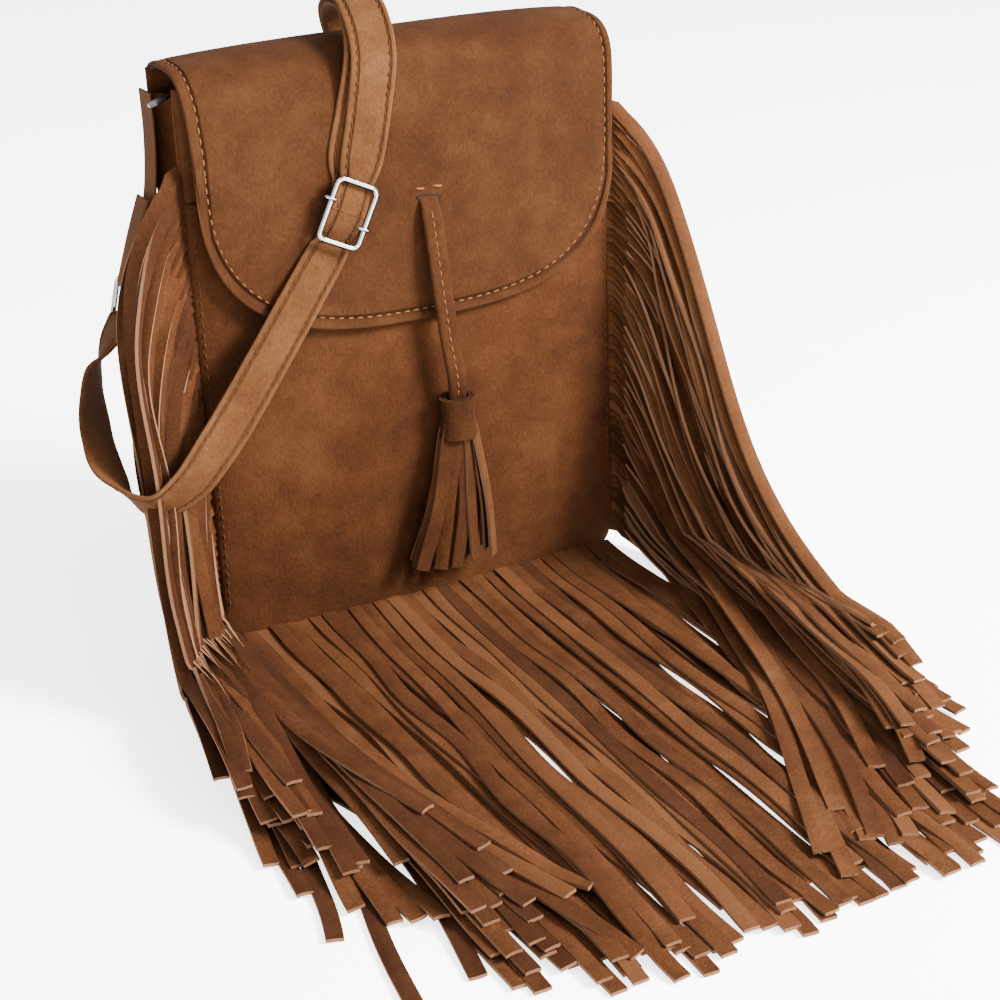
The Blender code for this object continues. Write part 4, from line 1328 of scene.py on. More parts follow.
@dataclass
class StripSet:
    """Strips of one seam, gathered into one mesh."""

    name: str
    node: str
    finish: bpy.types.Material
    floor: FloorMap
    rng: random.Random
    width: float = 0.0064
    thick: float = 0.0014
    length: float = 0.305
    stations: int = 60
    pile_limit: float = 0.026
    verts: list[np.ndarray] = field(default_factory=list)
    faces: list[tuple[int, ...]] = field(default_factory=list)
    tint: list[float] = field(default_factory=list)
    cut: list[float] = field(default_factory=list)
    total: int = 0
    body: Body = Body.BAG

    SECTION = np.array([(-1.0, -0.5), (-0.5, -0.5), (0.0, -0.5), (0.5, -0.5), (1.0, -0.5),
                        (1.0, 0.5), (0.5, 0.5), (0.0, 0.5), (-0.5, 0.5), (-1.0, 0.5)])

    def settle(self, path: np.ndarray, across: np.ndarray) -> np.ndarray:
        """Lift a path so that it lies on what is already on the floor.

        Args:
            path: centre line of the strip.
            across: its sideways directions.

        Returns:
            The lifted path.
        """
        half = self.width / 2
        below = np.array([self.floor.under((path + across * half * share)[:, :2])
                          for share in np.linspace(-0.9, 0.9, 7)])
        rest = 0.45 * below.max(axis=0) + 0.55 * below.mean(axis=0) + self.thick * 0.5 + 0.0001
        padded = np.pad(rest, 3, mode="edge")
        rest = np.average([padded[k:k + len(rest)] for k in range(7)], axis=0,
                          weights=(1, 2, 3, 4, 3, 2, 1))
        lifted = path.copy()
        lifted[:, 2] = np.maximum(path[:, 2], np.minimum(rest, self.pile_limit))
        return lifted

    def add(self, path: np.ndarray, facing: np.ndarray, curl: float, depth: float = 0.0) -> None:
        """Add one strip along a path.

        Args:
            path: centre line from the seam to the tip.
            facing: rough outward direction at each station.
            curl: how far its middle stands over its edges, in metres.
            depth: painted shade; 1 for a strip that lies well behind the others, which is painted darker as if shaded
                by them.
        """
        across, _ = band_frames(path, facing)
        path = self.settle(path, across)
        across, outward = band_frames(path, facing)
        half = self.width / 2 * (1 + self.rng.uniform(-0.06, 0.06))
        shape = self.SECTION.copy()
        shape[:, 1] = shape[:, 1] * self.thick + curl * (1 - shape[:, 0] ** 2)
        verts = (path[:, None, :] + across[:, None, :] * (shape[None, :, 0:1] * half)
                 + outward[:, None, :] * shape[None, :, 1:2]).reshape(-1, 3)
        size = len(shape)
        self.faces += tube_faces(len(path), size, self.total)
        # Random tone of the strip plus painted shade for its depth.
        tone = self.rng.gauss(-0.08, 0.50) - 0.9 * depth
        sides = [1.0 if k in (4, 9) else 0.0 for k in range(size)]
        rooted = int(0.016 / self.length * len(path))
        self.cut += [0.0] * (size * rooted) + sides * (len(path) - 1 - rooted) + [0.0, 1.0]
        self.tint += [tone] * (size * (len(path) - 1) + 2)
        self.verts.append(verts)
        self.total += len(verts)
        low = path[:, 2] < 0.035
        for share in np.linspace(-1.0, 1.0, 9):
            fine = path + across * half * share
            spots = resample(fine[low], 260) if low.sum() > 3 else fine[low]
            if len(spots):
                self.floor.lay(spots[:, :2], spots[:, 2] + self.thick * 0.5)

    def build(self) -> bpy.types.Object:
        """Make the mesh and let it ride on its body."""
        verts = np.vstack(self.verts)
        first = self.faces[:(self.stations - 1) * len(self.SECTION) + 2]
        if facing_out(self.verts[0], first) is not first:
            self.faces = [tuple(reversed(f)) for f in self.faces]
        numbers = {"tint": ("FACE", np.array(self.tint)), "cut": ("FACE", np.array(self.cut))}
        piece = make_piece(self.name, verts, self.faces, self.finish, sharp=50.0, numbers=numbers)
        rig.replaces(piece, self.node)
        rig.ride(piece, self.body)
        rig.slot(piece, "fringe_suede")
        return piece


@dataclass(frozen=True)
class Hang:
    """How one side strip hangs.

    fall and spread are the distances in which it drops and leaves the seam, reach is how far out it
    gets, turn and bow are its heading and its bend on the floor, layer is how far forward it hangs,
    and sway, phase and wave are its waviness.
    """

    length: float
    fall: float
    reach: float
    spread: float
    turn: float
    bow: float
    layer: float
    sway: float
    phase: float
    wave: float


@dataclass
class Fringe:
    """Strips sewn into both side seams and the bottom seam."""

    finish: bpy.types.Material
    seed: int = 11
    seam_x: float = 0.1015
    seam_y: float = -0.0185
    side_count: int = 28
    bottom_count: int = 30
    bottom_layers: int = 2
    bottom_half: float = 0.0960
    bottom_flat: float = 0.195
    root_bend: float = 0.0042
    root_x: float = 0.0999
    root_y: float = -0.0146
    seam_top: float = 0.2160
    seam_bottom: float = 0.0120

    def __post_init__(self) -> None:
        """Start the floor map and the random numbers."""
        self.rng = random.Random(self.seed)
        self.floor = FloorMap()

    def draw_hang(self, side: Side, height: float, share: float, behind: bool, length: float) -> Hang:
        """Choose how a side strip hangs.

        Args:
            side: the seam's side.
            height: where the strip leaves the seam.
            share: that height as a share of the seam.
            behind: it belongs to the ply that hangs behind.
            length: usual length of a strip.

        Returns:
            The choice.
        """
        rng = self.rng
        length = length * rng.uniform(0.93, 1.02)
        if side is Side.RIGHT:
            fall = 0.018 + 0.215 * height
            reach = 0.002 + 0.018 * share + rng.uniform(-0.005, 0.004)
            spread, foremost = 0.022, 0.010
            turn = 0.22 * (1 - share) ** 1.1 - 0.02
        else:
            fall = 0.011 + 0.052 * height
            reach = 0.003 + 0.026 * share ** 0.7 + rng.uniform(-0.011 * (1 - 0.8 * share), 0.002)
            spread, foremost = 0.044 - 0.018 * share, 0.015
            turn = 0.15 * (1 - share) - 0.09 * share
        turn += rng.gauss(0.0, 0.055)
        bow = rng.gauss(0.0, 0.30)
        layer = rng.uniform(0.0, 0.002) if behind else rng.uniform(0.004, foremost)
        return Hang(length, fall, reach, spread, turn, bow, layer, sway=rng.uniform(0.0004, 0.0022),
                    phase=rng.uniform(0, CYCLE), wave=rng.uniform(0.08, 0.18))

    def root(self, side: Side, height: float) -> np.ndarray:
        """Quarter turn that leads a side strip out from under the panel's edge."""
        angles = np.linspace(0.0, math.radians(80), 9)[:-1]
        swing = np.sin(angles)
        edge = self.seam_x + self.root_bend
        return np.column_stack([side.sign * (self.root_x + (edge - self.root_x) * swing),
                                self.root_y + (self.seam_y - self.root_y) * swing ** 2,
                                height - self.root_bend * (1 - np.cos(angles))])

    def hanging_line(self, side: Side, height: float, hang: Hang) -> np.ndarray:
        """Lead a side strip out of its seam, down, and forward over the floor.

        Args:
            side: the seam's side.
            height: where the strip leaves the seam.
            hang: how it hangs.

        Returns:
            Closely spaced points, on past the strip's end.
        """
        start = height - self.root_bend
        ahead = np.linspace(0.0, 0.36, 900) ** 1.5 / 0.36 ** 0.5
        drop = start * (1 - np.exp(-ahead / hang.fall))
        gone = np.sqrt(ahead ** 2 + drop ** 2)
        out = self.root_bend + hang.reach * (1 - np.exp(-gone / hang.spread))
        floor_run = np.maximum(0.0, ahead - hang.fall * 1.6)
        drift = side.sign * (hang.turn + hang.bow * floor_run) * floor_run
        sway = np.clip(gone / 0.05, 0, 1) * hang.sway * np.sin(gone / hang.wave * CYCLE + hang.phase)
        x = side.sign * (self.seam_x + out) - drift + sway
        y = self.seam_y - ahead - hang.layer * (1 - np.exp(-gone / 0.02))
        z = np.maximum(start - drop, 0.0)
        return np.vstack([self.root(side, height), np.column_stack([x, y, z])])

    def side_facing(self, side: Side, path: np.ndarray, length: float) -> np.ndarray:
        """Outward directions of a side strip: twisted where it hangs, upward where it lies.

        Args:
            side: the seam's side.
            path: its centre line.
            length: its length.

        Returns:
            One direction for each station, smoothed along the strip.
        """
        rng = self.rng
        along = unit(np.gradient(path, axis=0))
        run = np.linspace(0.0, length, len(path))
        if side is Side.RIGHT:
            turned = rng.gauss(0.0, 0.35)
        else:
            turned = rng.choice((-1, 1)) * rng.uniform(0.3, 1.25)
        twist = turned + rng.gauss(0.0, 0.35) * np.sin(run / rng.uniform(0.08, 0.2) * CYCLE / 2)
        twist = twist * np.clip(run / 0.04, 0, 1)
        level = np.clip(1.0 + along[:, 2] * 1.35, 0, 1) * np.clip((run - 0.012) / 0.02, 0, 1)
        roll = twist * (1 - level) + 0.10 * rng.gauss(0.0, 1.0) * level
        facing = np.column_stack([side.sign * 0.15 * (1 - level) + np.sin(roll),
                                  -(1 - level) * np.cos(roll), level + 0.02])
        padded = np.pad(unit(facing), ((4, 4), (0, 0)), mode="edge")
        return sum(padded[k:k + len(run)] for k in range(9))

    def build_side(self, side: Side) -> None:
        """Fringe of one side seam, lowest strips first; its plies get painted shade: the left ones darker, as that
        side hangs in shadow, the back ply darker than the front, the right front ply lighter.
        """
        strips = StripSet(f"fringe_{side.word}_strips", f"fringe_{side.word}", self.finish, self.floor,
                          self.rng)
        rise = self.seam_top - self.seam_bottom
        # Painted light and shade for each ply, back ply first: larger numbers paint the strips darker, negative ones
        # paint them lighter.
        painted_shade_per_ply = (1.1, 0.5) if side is Side.LEFT else (0.1, -0.5)
        for i in range(self.side_count):
            for layer, shade in enumerate(painted_shade_per_ply):
                share = (i + 0.5 * layer) / (self.side_count - 0.5)
                height = self.seam_bottom + rise * share + self.rng.uniform(-0.0008, 0.0008)
                hang = self.draw_hang(side, height, share, layer == 0, strips.length)
                line = self.hanging_line(side, height, hang)
                path = resample(line[distance_along(line) <= hang.length], strips.stations)
                facing = self.side_facing(side, path, hang.length)
                strips.add(path, facing, self.rng.uniform(-0.0004, 0.0006), shade)
        self.declare(strips, len(painted_shade_per_ply) * rise)

    def declare(self, strips: StripSet, flat_width: float) -> None:
        piece = strips.build()
        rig.sheet(piece, flat=(flat_width, strips.length), held="draped", rests_on=["pocket_suede"])
        LOG.info("%s: %d strips", piece.name, len(strips.verts))

    def build_bottom(self) -> None:
        """Layers of strips that lie forward from the bottom seam."""
        strips = StripSet("fringe_bottom_strips", "fringe_bottom", self.finish, self.floor, self.rng)
        rng = self.rng
        for layer in range(self.bottom_layers):
            order = list(range(self.bottom_count))
            rng.shuffle(order)
            for i in order:
                share = (i + 0.5 + 0.5 * layer) / (self.bottom_count + 0.5) * 2 - 1
                lean = -0.02 + (-0.055 if share < 0 else 0.02) * share
                lean += rng.gauss(0.0, 0.014) * (0.6 + 1.2 * layer)
                sway = rng.uniform(0.0003, 0.0017)
                phase = rng.uniform(0, CYCLE)
                wave = rng.uniform(0.07, 0.16)
                length = strips.length * rng.uniform(0.91, 1.0)
                run = np.linspace(0.0, length, strips.stations)
                fade = np.clip(run / 0.06, 0, 1)
                x = self.bottom_half * share + lean * run + fade * sway * np.sin(run / wave * CYCLE + phase)
                height = 0.0028 + 0.0016 * layer
                z = 0.0008 + height * np.exp(-(run / 0.012) ** 2)
                path = np.column_stack([x, self.seam_y - run, z])
                facing = np.tile([0.0, -0.02, 1.0], (len(run), 1))
                strips.add(path, facing, rng.uniform(-0.0002, 0.0005))
        self.declare(strips, self.bottom_layers * self.bottom_flat)

    def build(self) -> None:
        """Build the three bands."""
        self.build_bottom()
        self.build_side(Side.LEFT)
        self.build_side(Side.RIGHT)


# ------------------------------------------------------------------ tassel


@dataclass
class Tassel:
    """Strap, rolled head and flaring strips of the tassel."""

    suede: bpy.types.Material
    fringe: bpy.types.Material
    thread: bpy.types.Material
    flap: Flap
    seed: int = 5

    def strap_path(self) -> tuple[np.ndarray, np.ndarray]:
        """Centre line of the tassel strap, bowed away from the flap."""
        flap = self.flap
        start, _ = flap.front_place(flap.slit_x, flap.slit_z)
        lift = flap.thick * 0.5
        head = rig.box("tassel_head")
        end = Vector(((head[0][0] + head[1][0]) / 2, (head[0][1] + head[1][1]) / 2 + 0.001,
                      head[1][2] - 0.003))
        face = float(start[1]) - lift
        points = [(flap.slit_x, face + 0.0012, flap.slit_z + 0.0004),
                  (flap.slit_x + 0.0002, face - 0.0014, 0.1885),
                  (flap.slit_x + 0.0006, face - 0.0042, 0.1760),
                  (flap.slit_x + 0.0020, face - 0.0062, 0.1520),
                  (flap.slit_x + 0.0042, face - 0.0074, 0.1270),
                  (flap.slit_x + 0.0060, face - 0.0084, 0.1110),
                  tuple(end)]
        path = curve_through(points, 60)
        return path, np.tile([0.0, -1.0, 0.06], (60, 1))

    def build_strap(self) -> None:
        """Flat folded strap with one middle row of stitches."""
        path, facing = self.strap_path()
        section = np.array([(-1.0, -0.0003), (-0.85, -0.0009), (0.0, -0.0010), (0.85, -0.0009),
                            (1.0, -0.0003), (0.97, 0.0004), (0.72, 0.0008), (0.25, 0.00072),
                            (0.0, 0.0005), (-0.25, 0.00072), (-0.72, 0.0008), (-0.97, 0.0004)])
        width = np.interp(np.arange(60), [0, 6, 59], [0.0042, 0.0047, 0.0044])
        verts, faces = band(path, facing, width, section)
        piece = make_piece("tassel_band", verts, facing_out(verts, faces), self.suede, sharp=70.0,
                           numbers={"edge": ("POINT", np.full(len(verts), 0.02))})
        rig.replaces(piece, "tassel_strap")
        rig.ride(piece, Body.FLAP)
        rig.slot(piece, "suede")
        rows = StitchRow(self.thread)
        _, outward = band_frames(path, facing)
        rows.run(path[4:] + outward[4:] * 0.00055, outward[4:], 0.0043, 0.0031)
        stitches = rows.build("tassel_stitches")
        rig.ride(stitches, Body.FLAP)
        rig.slot(stitches, "suede")

    def build_head(self) -> None:
        """Rolled head: a spiral of suede with its overlapping end in front."""
        low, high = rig.box("tassel_head")
        centre = np.array([(low[0] + high[0]) / 2, (low[1] + high[1]) / 2])
        half_x, half_y = (high[0] - low[0]) / 2, (high[1] - low[1]) / 2
        turns, steps = 2.15, 96
        rows = []
        for k in range(steps + 1):
            t = k / steps
            angle = math.radians(-62.0) - 2 * math.pi * turns * (1 - t)
            size = 0.60 + 0.40 * t
            column = []
            for v in np.linspace(0.0, 1.0, 11):
                z = low[2] + 0.0004 + (high[2] - low[2]) * v
                z += 0.0010 * math.sin(angle) * (1 - 0.3 * v) + 0.0004 * ripple(t * 3, v, 0.0, 0.4, 1.0)
                pinch = 1.0 - 0.10 * math.sin(math.pi * min(1.0, v * 1.1)) + 0.07 * (1 - v)
                column.append((centre[0] + half_x * size * pinch * math.cos(angle),
                               centre[1] + half_y * size * pinch * math.sin(angle), z))
            rows.append(column)
        outer = np.array(rows)
        normals = grid_normals(outer)
        radial = outer[..., :2] - centre
        if np.sum(normals[..., :2] * radial) < 0:
            normals = -normals
        inner = outer - normals * 0.0013
        verts, faces = shell_from_grid(outer, inner)
        piece = make_piece("tassel_roll", verts, facing_out(verts, faces), self.suede, sharp=60.0,
                           numbers={"edge": ("POINT", np.full(len(verts), 0.02))})
        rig.replaces(piece, "tassel_head")
        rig.ride(piece, Body.FLAP)
        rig.slot(piece, "suede")

    def build_strands(self) -> None:
        """Narrow strips that flare out of the head in three ranks."""
        low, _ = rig.box("tassel_strands")
        head_low, head_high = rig.box("tassel_head")
        rng = random.Random(self.seed)
        strips = StripSet("tassel_strips", "tassel_strands", self.fringe, FloorMap(), rng, width=0.0058,
                          thick=0.0013, stations=22, body=Body.FLAP)
        mid_x = (head_low[0] + head_high[0]) / 2
        mid_y = (head_low[1] + head_high[1]) / 2
        for rank, count in ((0, 6), (1, 6), (2, 5)):
            for i in range(count):
                share = (i + 0.5) / count * 2 - 1 + rng.uniform(-0.06, 0.06)
                depth = (1 - rank) * 0.0026
                bottom = low[2] + 0.001 + rng.uniform(0.0, 0.004) + 0.002 * abs(share)
                end_x = mid_x - 0.0052 + share * 0.0215
                bow = rng.uniform(-0.0015, 0.0015)
                points = [(mid_x + share * 0.0062, mid_y + depth * 0.7, head_low[2] + 0.007),
                          (mid_x + share * 0.0088, mid_y + depth * 0.9, head_low[2] - 0.004),
                          (mid_x - 0.0022 + share * 0.0145 + bow, mid_y + depth * 1.3 - 0.0012, 0.052),
                          (end_x, mid_y + depth * 1.5 + 0.0004, bottom)]
                path = curve_through(points, strips.stations)
                yaw = share * 0.5 + rng.uniform(-0.35, 0.35)
                facing = np.tile([math.sin(yaw), -math.cos(yaw), 0.0], (strips.stations, 1))
                strips.add(path, facing, rng.uniform(-0.0003, 0.0006))
        strips.build()

    def build(self) -> None:
        """Build the tassel."""
        self.build_strap()
        self.build_head()
        self.build_strands()


# ------------------------------------------------------------------ strap


@dataclass
class Strap:
    """Shoulder strap: folded suede with two rows of stitches, doubled back to its slider."""

    suede: bpy.types.Material
    thread: bpy.types.Material
    half: float = 0.0102
    pinch: float = 0.0082
    rise: float = 0.0010
    ring_wire: float = 0.00125
    ring_gap: float = 0.0009
    ring_lean: float = 14.0
    bar_drop: float = 0.009
    tab_wall: float = 0.1010
    tab_y: float = 0.0150

    @property
    def section(self) -> np.ndarray:
        """Section with soft folded edges and a slight dip along each stitch row."""
        side = [(-1.0, 0.0), (-0.985, 0.55), (-0.93, 0.95), (-0.82, 1.0), (-0.70, 0.72), (-0.56, 0.98),
                (-0.3, 1.06)]
        upper = side + [(0.0, 1.04)] + [(-a, b) for a, b in reversed(side)]
        lower = [(0.93, -0.8), (0.70, -0.9), (0.0, -0.85), (-0.70, -0.9), (-0.93, -0.8)]
        return np.array([(a, b * self.rise) for a, b in upper + lower])

    def slider_frame(self) -> tuple[Vector, Vector, Vector]:
        """Middle, sideways and lengthways directions of the slider, from its slide joint."""
        joint = next(j for j in frame["joints"] if j["name"] == "buckle_slide")
        along = -Vector(joint["axis"]).normalized()
        low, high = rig.box("buckle_frame")
        middle = (Vector(low) + Vector(high)) / 2
        middle.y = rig.box("flap_outer")[0][1] - 0.0024
        return middle, Vector((along.z, 0.0, -along.x)), along

    def at_slider(self, across: float, along: float, height: float) -> tuple[float, float, float]:
        """Place in the slider's own frame."""
        middle, side, run = self.slider_frame()
        return tuple(middle + side * across + run * along + Vector((0.0, -height, 0.0)))

    def ring(self, side: Side) -> tuple[Vector, Vector, Vector]:
        """Strap bar, direction down from the tab and facing of a ring."""
        low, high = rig.box(f"d_ring_{side.word}")
        lean = math.radians(self.ring_lean)
        down = Vector((side.sign * math.sin(lean), 0.0, -math.cos(lean)))
        facing = Vector((side.sign * math.cos(lean), 0.0, math.sin(lean)))
        middle = (Vector(low) + Vector(high)) / 2
        return middle + down * self.bar_drop, down, facing

    def hook(self, side: Side) -> list[tuple[Vector, Vector]]:
        """Turn of the strap over its ring's bar.

        Args:
            side: the ring's side.

        Returns:
            Places and outward directions, from the outside inwards.
        """
        bar, down, face = self.ring(side)
        turn = self.ring_wire + self.ring_gap + self.rise
        steps = []
        for k in range(5):
            angle = math.pi * k / 4
            out = face * math.cos(angle) - down * math.sin(angle)
            steps.append((bar + out * turn, out))
        return steps

    def lower_run(self) -> list[tuple[float, ...]]:
        """From the left ring, under the left fringe and up across the front to the slider."""
        bar, _, face = self.ring(Side.LEFT)
        rows: list[tuple[Point, Point, float]] = []
        inner = bar - face * (0.0034 + self.rise)
        rows.append((inner + Vector((0.0040, 0.0, -0.0275)), face, self.half * 0.55))
        rows.append((inner + Vector((0.0037, 0.0, -0.0255)), face, self.half * 0.9))
        rows.append((inner + Vector((0.0030, 0.0, -0.0220)), face, self.half))
        rows.append((inner + Vector((0.0010, 0.0, -0.0110)), face, self.half))
        rows += [(p, -f, self.half) for p, f in reversed(self.hook(Side.LEFT))]
        loop = (((-0.1300, 0.0140, 0.1385), (1.0, 0.0, 0.2)),
                ((-0.1375, 0.0110, 0.1280), (0.90, -0.35, 0.3)),
                ((-0.1415, 0.0020, 0.1165), (0.70, -0.55, 0.4)),
                ((-0.1455, -0.0140, 0.1070), (0.62, -0.40, 0.65)),
                ((-0.1460, -0.0330, 0.0970), (0.42, 0.25, 0.85)),
                ((-0.1360, -0.0455, 0.0885), (0.12, 0.72, 0.68)),
                ((-0.1205, -0.0470, 0.0940), (0.0, 0.95, 0.3)),
                ((-0.1050, -0.0430, 0.1065), (0.0, 1.0, 0.05)),
                ((-0.0850, -0.0350, 0.1250), (0.0, 1.0, 0.0)))
        rows += [(place, facing, self.half) for place, facing in loop]
        rows.append((self.at_slider(-0.0015, -0.0240, 0.0018), (0, 1, 0), self.half * 0.95))
        rows.append((self.at_slider(0.0, -0.0133, 0.0020), (0, 1, 0), self.pinch))
        rows.append((self.at_slider(0.0, -0.0060, 0.0052), (0, 1, 0), self.pinch))
        rows.append((self.at_slider(0.0, 0.0, 0.0060), (0, 1, 0), self.pinch))
        return [(*p, *(-Vector(f).normalized()), w) for p, f, w in rows]

    def upper_run(self, layer: float) -> list[tuple[float, ...]]:
        """From the slider over the top to the right ring.

        Args:
            layer: how far inside the outer layer it lies; 0 is the outer layer itself.

        Returns:
            Rows of place, facing and half width.
        """
        flap_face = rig.box("flap_outer")[0][1]
        rows: list[tuple[Point, Point, float]] = []
        over = (((-0.0205, flap_face - 0.0054, 0.2330), (0, 1, 0.05)),
                ((-0.0170, -0.0280, 0.2560), (0, 0.9, -0.35)),
                ((-0.0150, -0.0150, 0.2722), (0, 0.45, -0.9)),
                ((-0.0120, 0.0060, 0.2742), (0, -0.1, -1.0)),
                ((-0.0085, 0.0220, 0.2660), (0, -0.7, -0.7)),
                ((0.0000, 0.0300, 0.2480), (0, -1.0, -0.2)),
                ((0.0200, 0.0325, 0.2120), (0, -1.0, 0.0)),
                ((0.0560, 0.0330, 0.1700), (-0.1, -1.0, 0.1)),
                ((0.0920, 0.0310, 0.1340), (-0.35, -0.85, 0.3)),
                ((0.1205, 0.0180, 0.1260), (-0.95, -0.20, 0.2)))
        if layer == 0.0:
            rows.append((self.at_slider(0.0, 0.0, 0.0060), (0, 1, 0), self.pinch))
            rows.append((self.at_slider(0.0, 0.0060, 0.0054), (0, 1, 0), self.pinch))
            rows.append((self.at_slider(0.0, 0.0133, 0.0038), (0, 1, 0), self.pinch))
            rows.append((self.at_slider(-0.0012, 0.0230, 0.0038), (0, 1, 0), self.half * 0.97))
        else:
            rows.append((self.at_slider(0.0, 0.0045, 0.0011), (0, 1, 0), self.pinch * 0.97))
            rows.append((self.at_slider(-0.0020, 0.0133, 0.0010), (0, 1, 0), self.pinch * 0.97))
            rows.append((self.at_slider(-0.0060, 0.0230, 0.0010), (0, 1, 0), self.half * 0.95))
        for i, (place, facing) in enumerate(over):
            inward = Vector(facing).normalized()
            splay = Vector((-0.0042 * max(0.0, 1 - i / 2), 0.0, 0.0)) if layer else Vector()
            width = self.half * (0.97 if layer else 1.0)
            rows.append((Vector(place) + inward * layer + splay, facing, width))
        turn = self.hook(Side.RIGHT)
        if layer:
            rows += [(p, f, self.half) for p, f in reversed(turn[3:])]
        else:
            rows += [(p, -f, self.half) for p, f in turn[:4]]
        return [(*p, *(-Vector(f).normalized()), w) for p, f, w in rows]

    def run(self, name: str, rows: list[tuple[float, ...]], steps: int, stitches: StitchRow) \
            -> bpy.types.Object:
        """Build one run of strap and sew its two rows.

        Args:
            name: name of the piece.
            rows: place, facing and half width along it.
            steps: stations to make.
            stitches: row that takes its stitches.

        Returns:
            The run.
        """
        course = curve_through(rows, steps)
        path, facing, width = course[:, :3], course[:, 3:6], course[:, 6]
        section = self.section
        verts, faces = band(path, facing, width, section)
        wander = np.array([ripple(*v, 0.012, 6.0) for v in verts]) * 0.00025
        across, outward = band_frames(path, facing)
        verts = verts + np.repeat(outward, len(section), axis=0) * wander[:, None]
        inset = (1 - np.abs(section[:, 0]))[None, :] * width[:, None]
        inset = np.where(section[None, :, 1] > 0, inset * (SEAM_INSET / 0.0031), 0.02)
        piece = make_piece(name, verts, facing_out(verts, faces), self.suede, sharp=80.0,
                           numbers={"edge": ("POINT", inset.ravel())})
        for share in (-0.70, 0.70):
            line = path + across * (share * width)[:, None] + outward * (self.rise * 0.74)
            stitches.run(line, outward, 0.0042, 0.0031)
        return piece

    def build(self) -> None:
        """Build the strap's runs; each follows the flap where it lies on it."""
        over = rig.box("flap_outer")
        hinge = next(j for j in frame["joints"] if j["name"] == "flap_hinge")["pos_m"]
        for name, rows, steps in (("strap_top_layer", self.upper_run(0.0), 150),
                                  ("strap_under_layer", self.upper_run(0.0024), 150)):
            stitches = StitchRow(self.thread)
            piece = self.run(name, rows, steps, stitches)
            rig.replaces(piece, "shoulder_strap")
            thread = stitches.build(name + "_stitches")
            for part in (piece, thread):
                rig.blend(part, Body.BAG, Body.FLAP, start=(0.0, hinge[1] + 0.020, over[1][2]),
                         end=(0.0, hinge[1] - 0.032, over[1][2]))
                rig.slot(part, "strap_suede")
        stitches = StitchRow(self.thread)
        piece = self.run("strap_front_run", self.lower_run(), 170, stitches)
        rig.replaces(piece, "shoulder_strap")
        thread = stitches.build("strap_front_run_stitches")
        lead = Vector((-0.75, 0.66, 0.0))
        for part in (piece, thread):
            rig.blend(part, Body.FLAP, Body.BAG, start=tuple(lead * 0.036), end=tuple(lead * 0.098))
            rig.slot(part, "strap_suede")

    def build_tabs(self) -> None:
        """Folded tabs that hold the rings at the top of the side seams."""
        for side in Side:
            low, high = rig.box(f"ring_tab_{side.word}")
            bar, down, face = self.ring(side)
            pivot = bar - down * (2 * self.bar_drop)
            wall, y = side.sign * self.tab_wall, self.tab_y
            turn = self.ring_wire + self.ring_gap
            rows = [((wall, y, high[2]), face),
                    ((wall, y, 0.2240), face),
                    ((side.sign * 0.1032, y, 0.2020), face),
                    ((side.sign * 0.1090, y, 0.1800), face)]
            for k in range(5):
                angle = math.pi * k / 4
                out = -face * math.cos(angle) + down * math.sin(angle)
                rows.append((tuple(pivot + out * turn), -out))
            rows += [((side.sign * 0.1130, y, 0.1830), -face),
                     ((side.sign * 0.1066, y, 0.2000), -face)]
            course = curve_through([(*p, *f) for p, f in rows], 70)
            width = np.full(70, (high[1] - low[1]) / 2)
            thin = self.section * np.array([1.0, 0.62])
            verts, faces = band(course[:, :3], course[:, 3:6], width, thin)
            piece = make_piece(f"ring_tab_{side.word}_fold", verts, facing_out(verts, faces), self.suede,
                               sharp=80.0, numbers={"edge": ("POINT", np.full(len(verts), 0.02))})
            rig.replaces(piece, f"ring_tab_{side.word}")
            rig.ride(piece, Body.BAG)
            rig.slot(piece, "strap_suede")


# ------------------------------------------------------------------ slider bar ends


@dataclass
class BarLoops:
    """Curled ends of the slider's loose bar, hooked round the frame's side wires."""

    strap: Strap
    plating: bpy.types.Material
    loop_radius: float = 0.0026
    wire_radius: float = 0.0009
    reach: float = 0.0095
    skew: float = 0.0040

    def build(self) -> None:
        """Add one loop at each side wire and let both ride on the bar."""
        _, side, along = self.strap.slider_frame()
        bar_low, bar_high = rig.box("buckle_bar")
        middle = (Vector(bar_low) + Vector(bar_high)) / 2
        frame_low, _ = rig.box("buckle_frame")
        height = (frame_low[1] + 0.0012 + middle.y) / 2
        turn = Vector((0.0, 0.0, 1.0)).rotation_difference(along).to_euler()
        for end in (-1, 1):
            place = middle + side * (end * self.reach) - along * (end * self.skew)
            place.y = height
            bpy.ops.object.select_all(action="DESELECT")
            bpy.ops.mesh.primitive_torus_add(location=(0.0, 0.0, 0.0), major_segments=28,
                                             minor_segments=12, major_radius=self.loop_radius,
                                             minor_radius=self.wire_radius)
            loop = bpy.context.active_object
            loop.name = "bar_loop_left" if end < 0 else "bar_loop_right"
            loop.rotation_euler = turn
            loop.location = place
            bpy.ops.object.transform_apply(location=True, rotation=True, scale=True)
            loop.data.materials.append(self.plating)
            loop.data.shade_smooth()
            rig.ride(loop, Body.BUCKLE_BAR)
            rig.slot(loop, "gunmetal")


# ------------------------------------------------------------------ scene


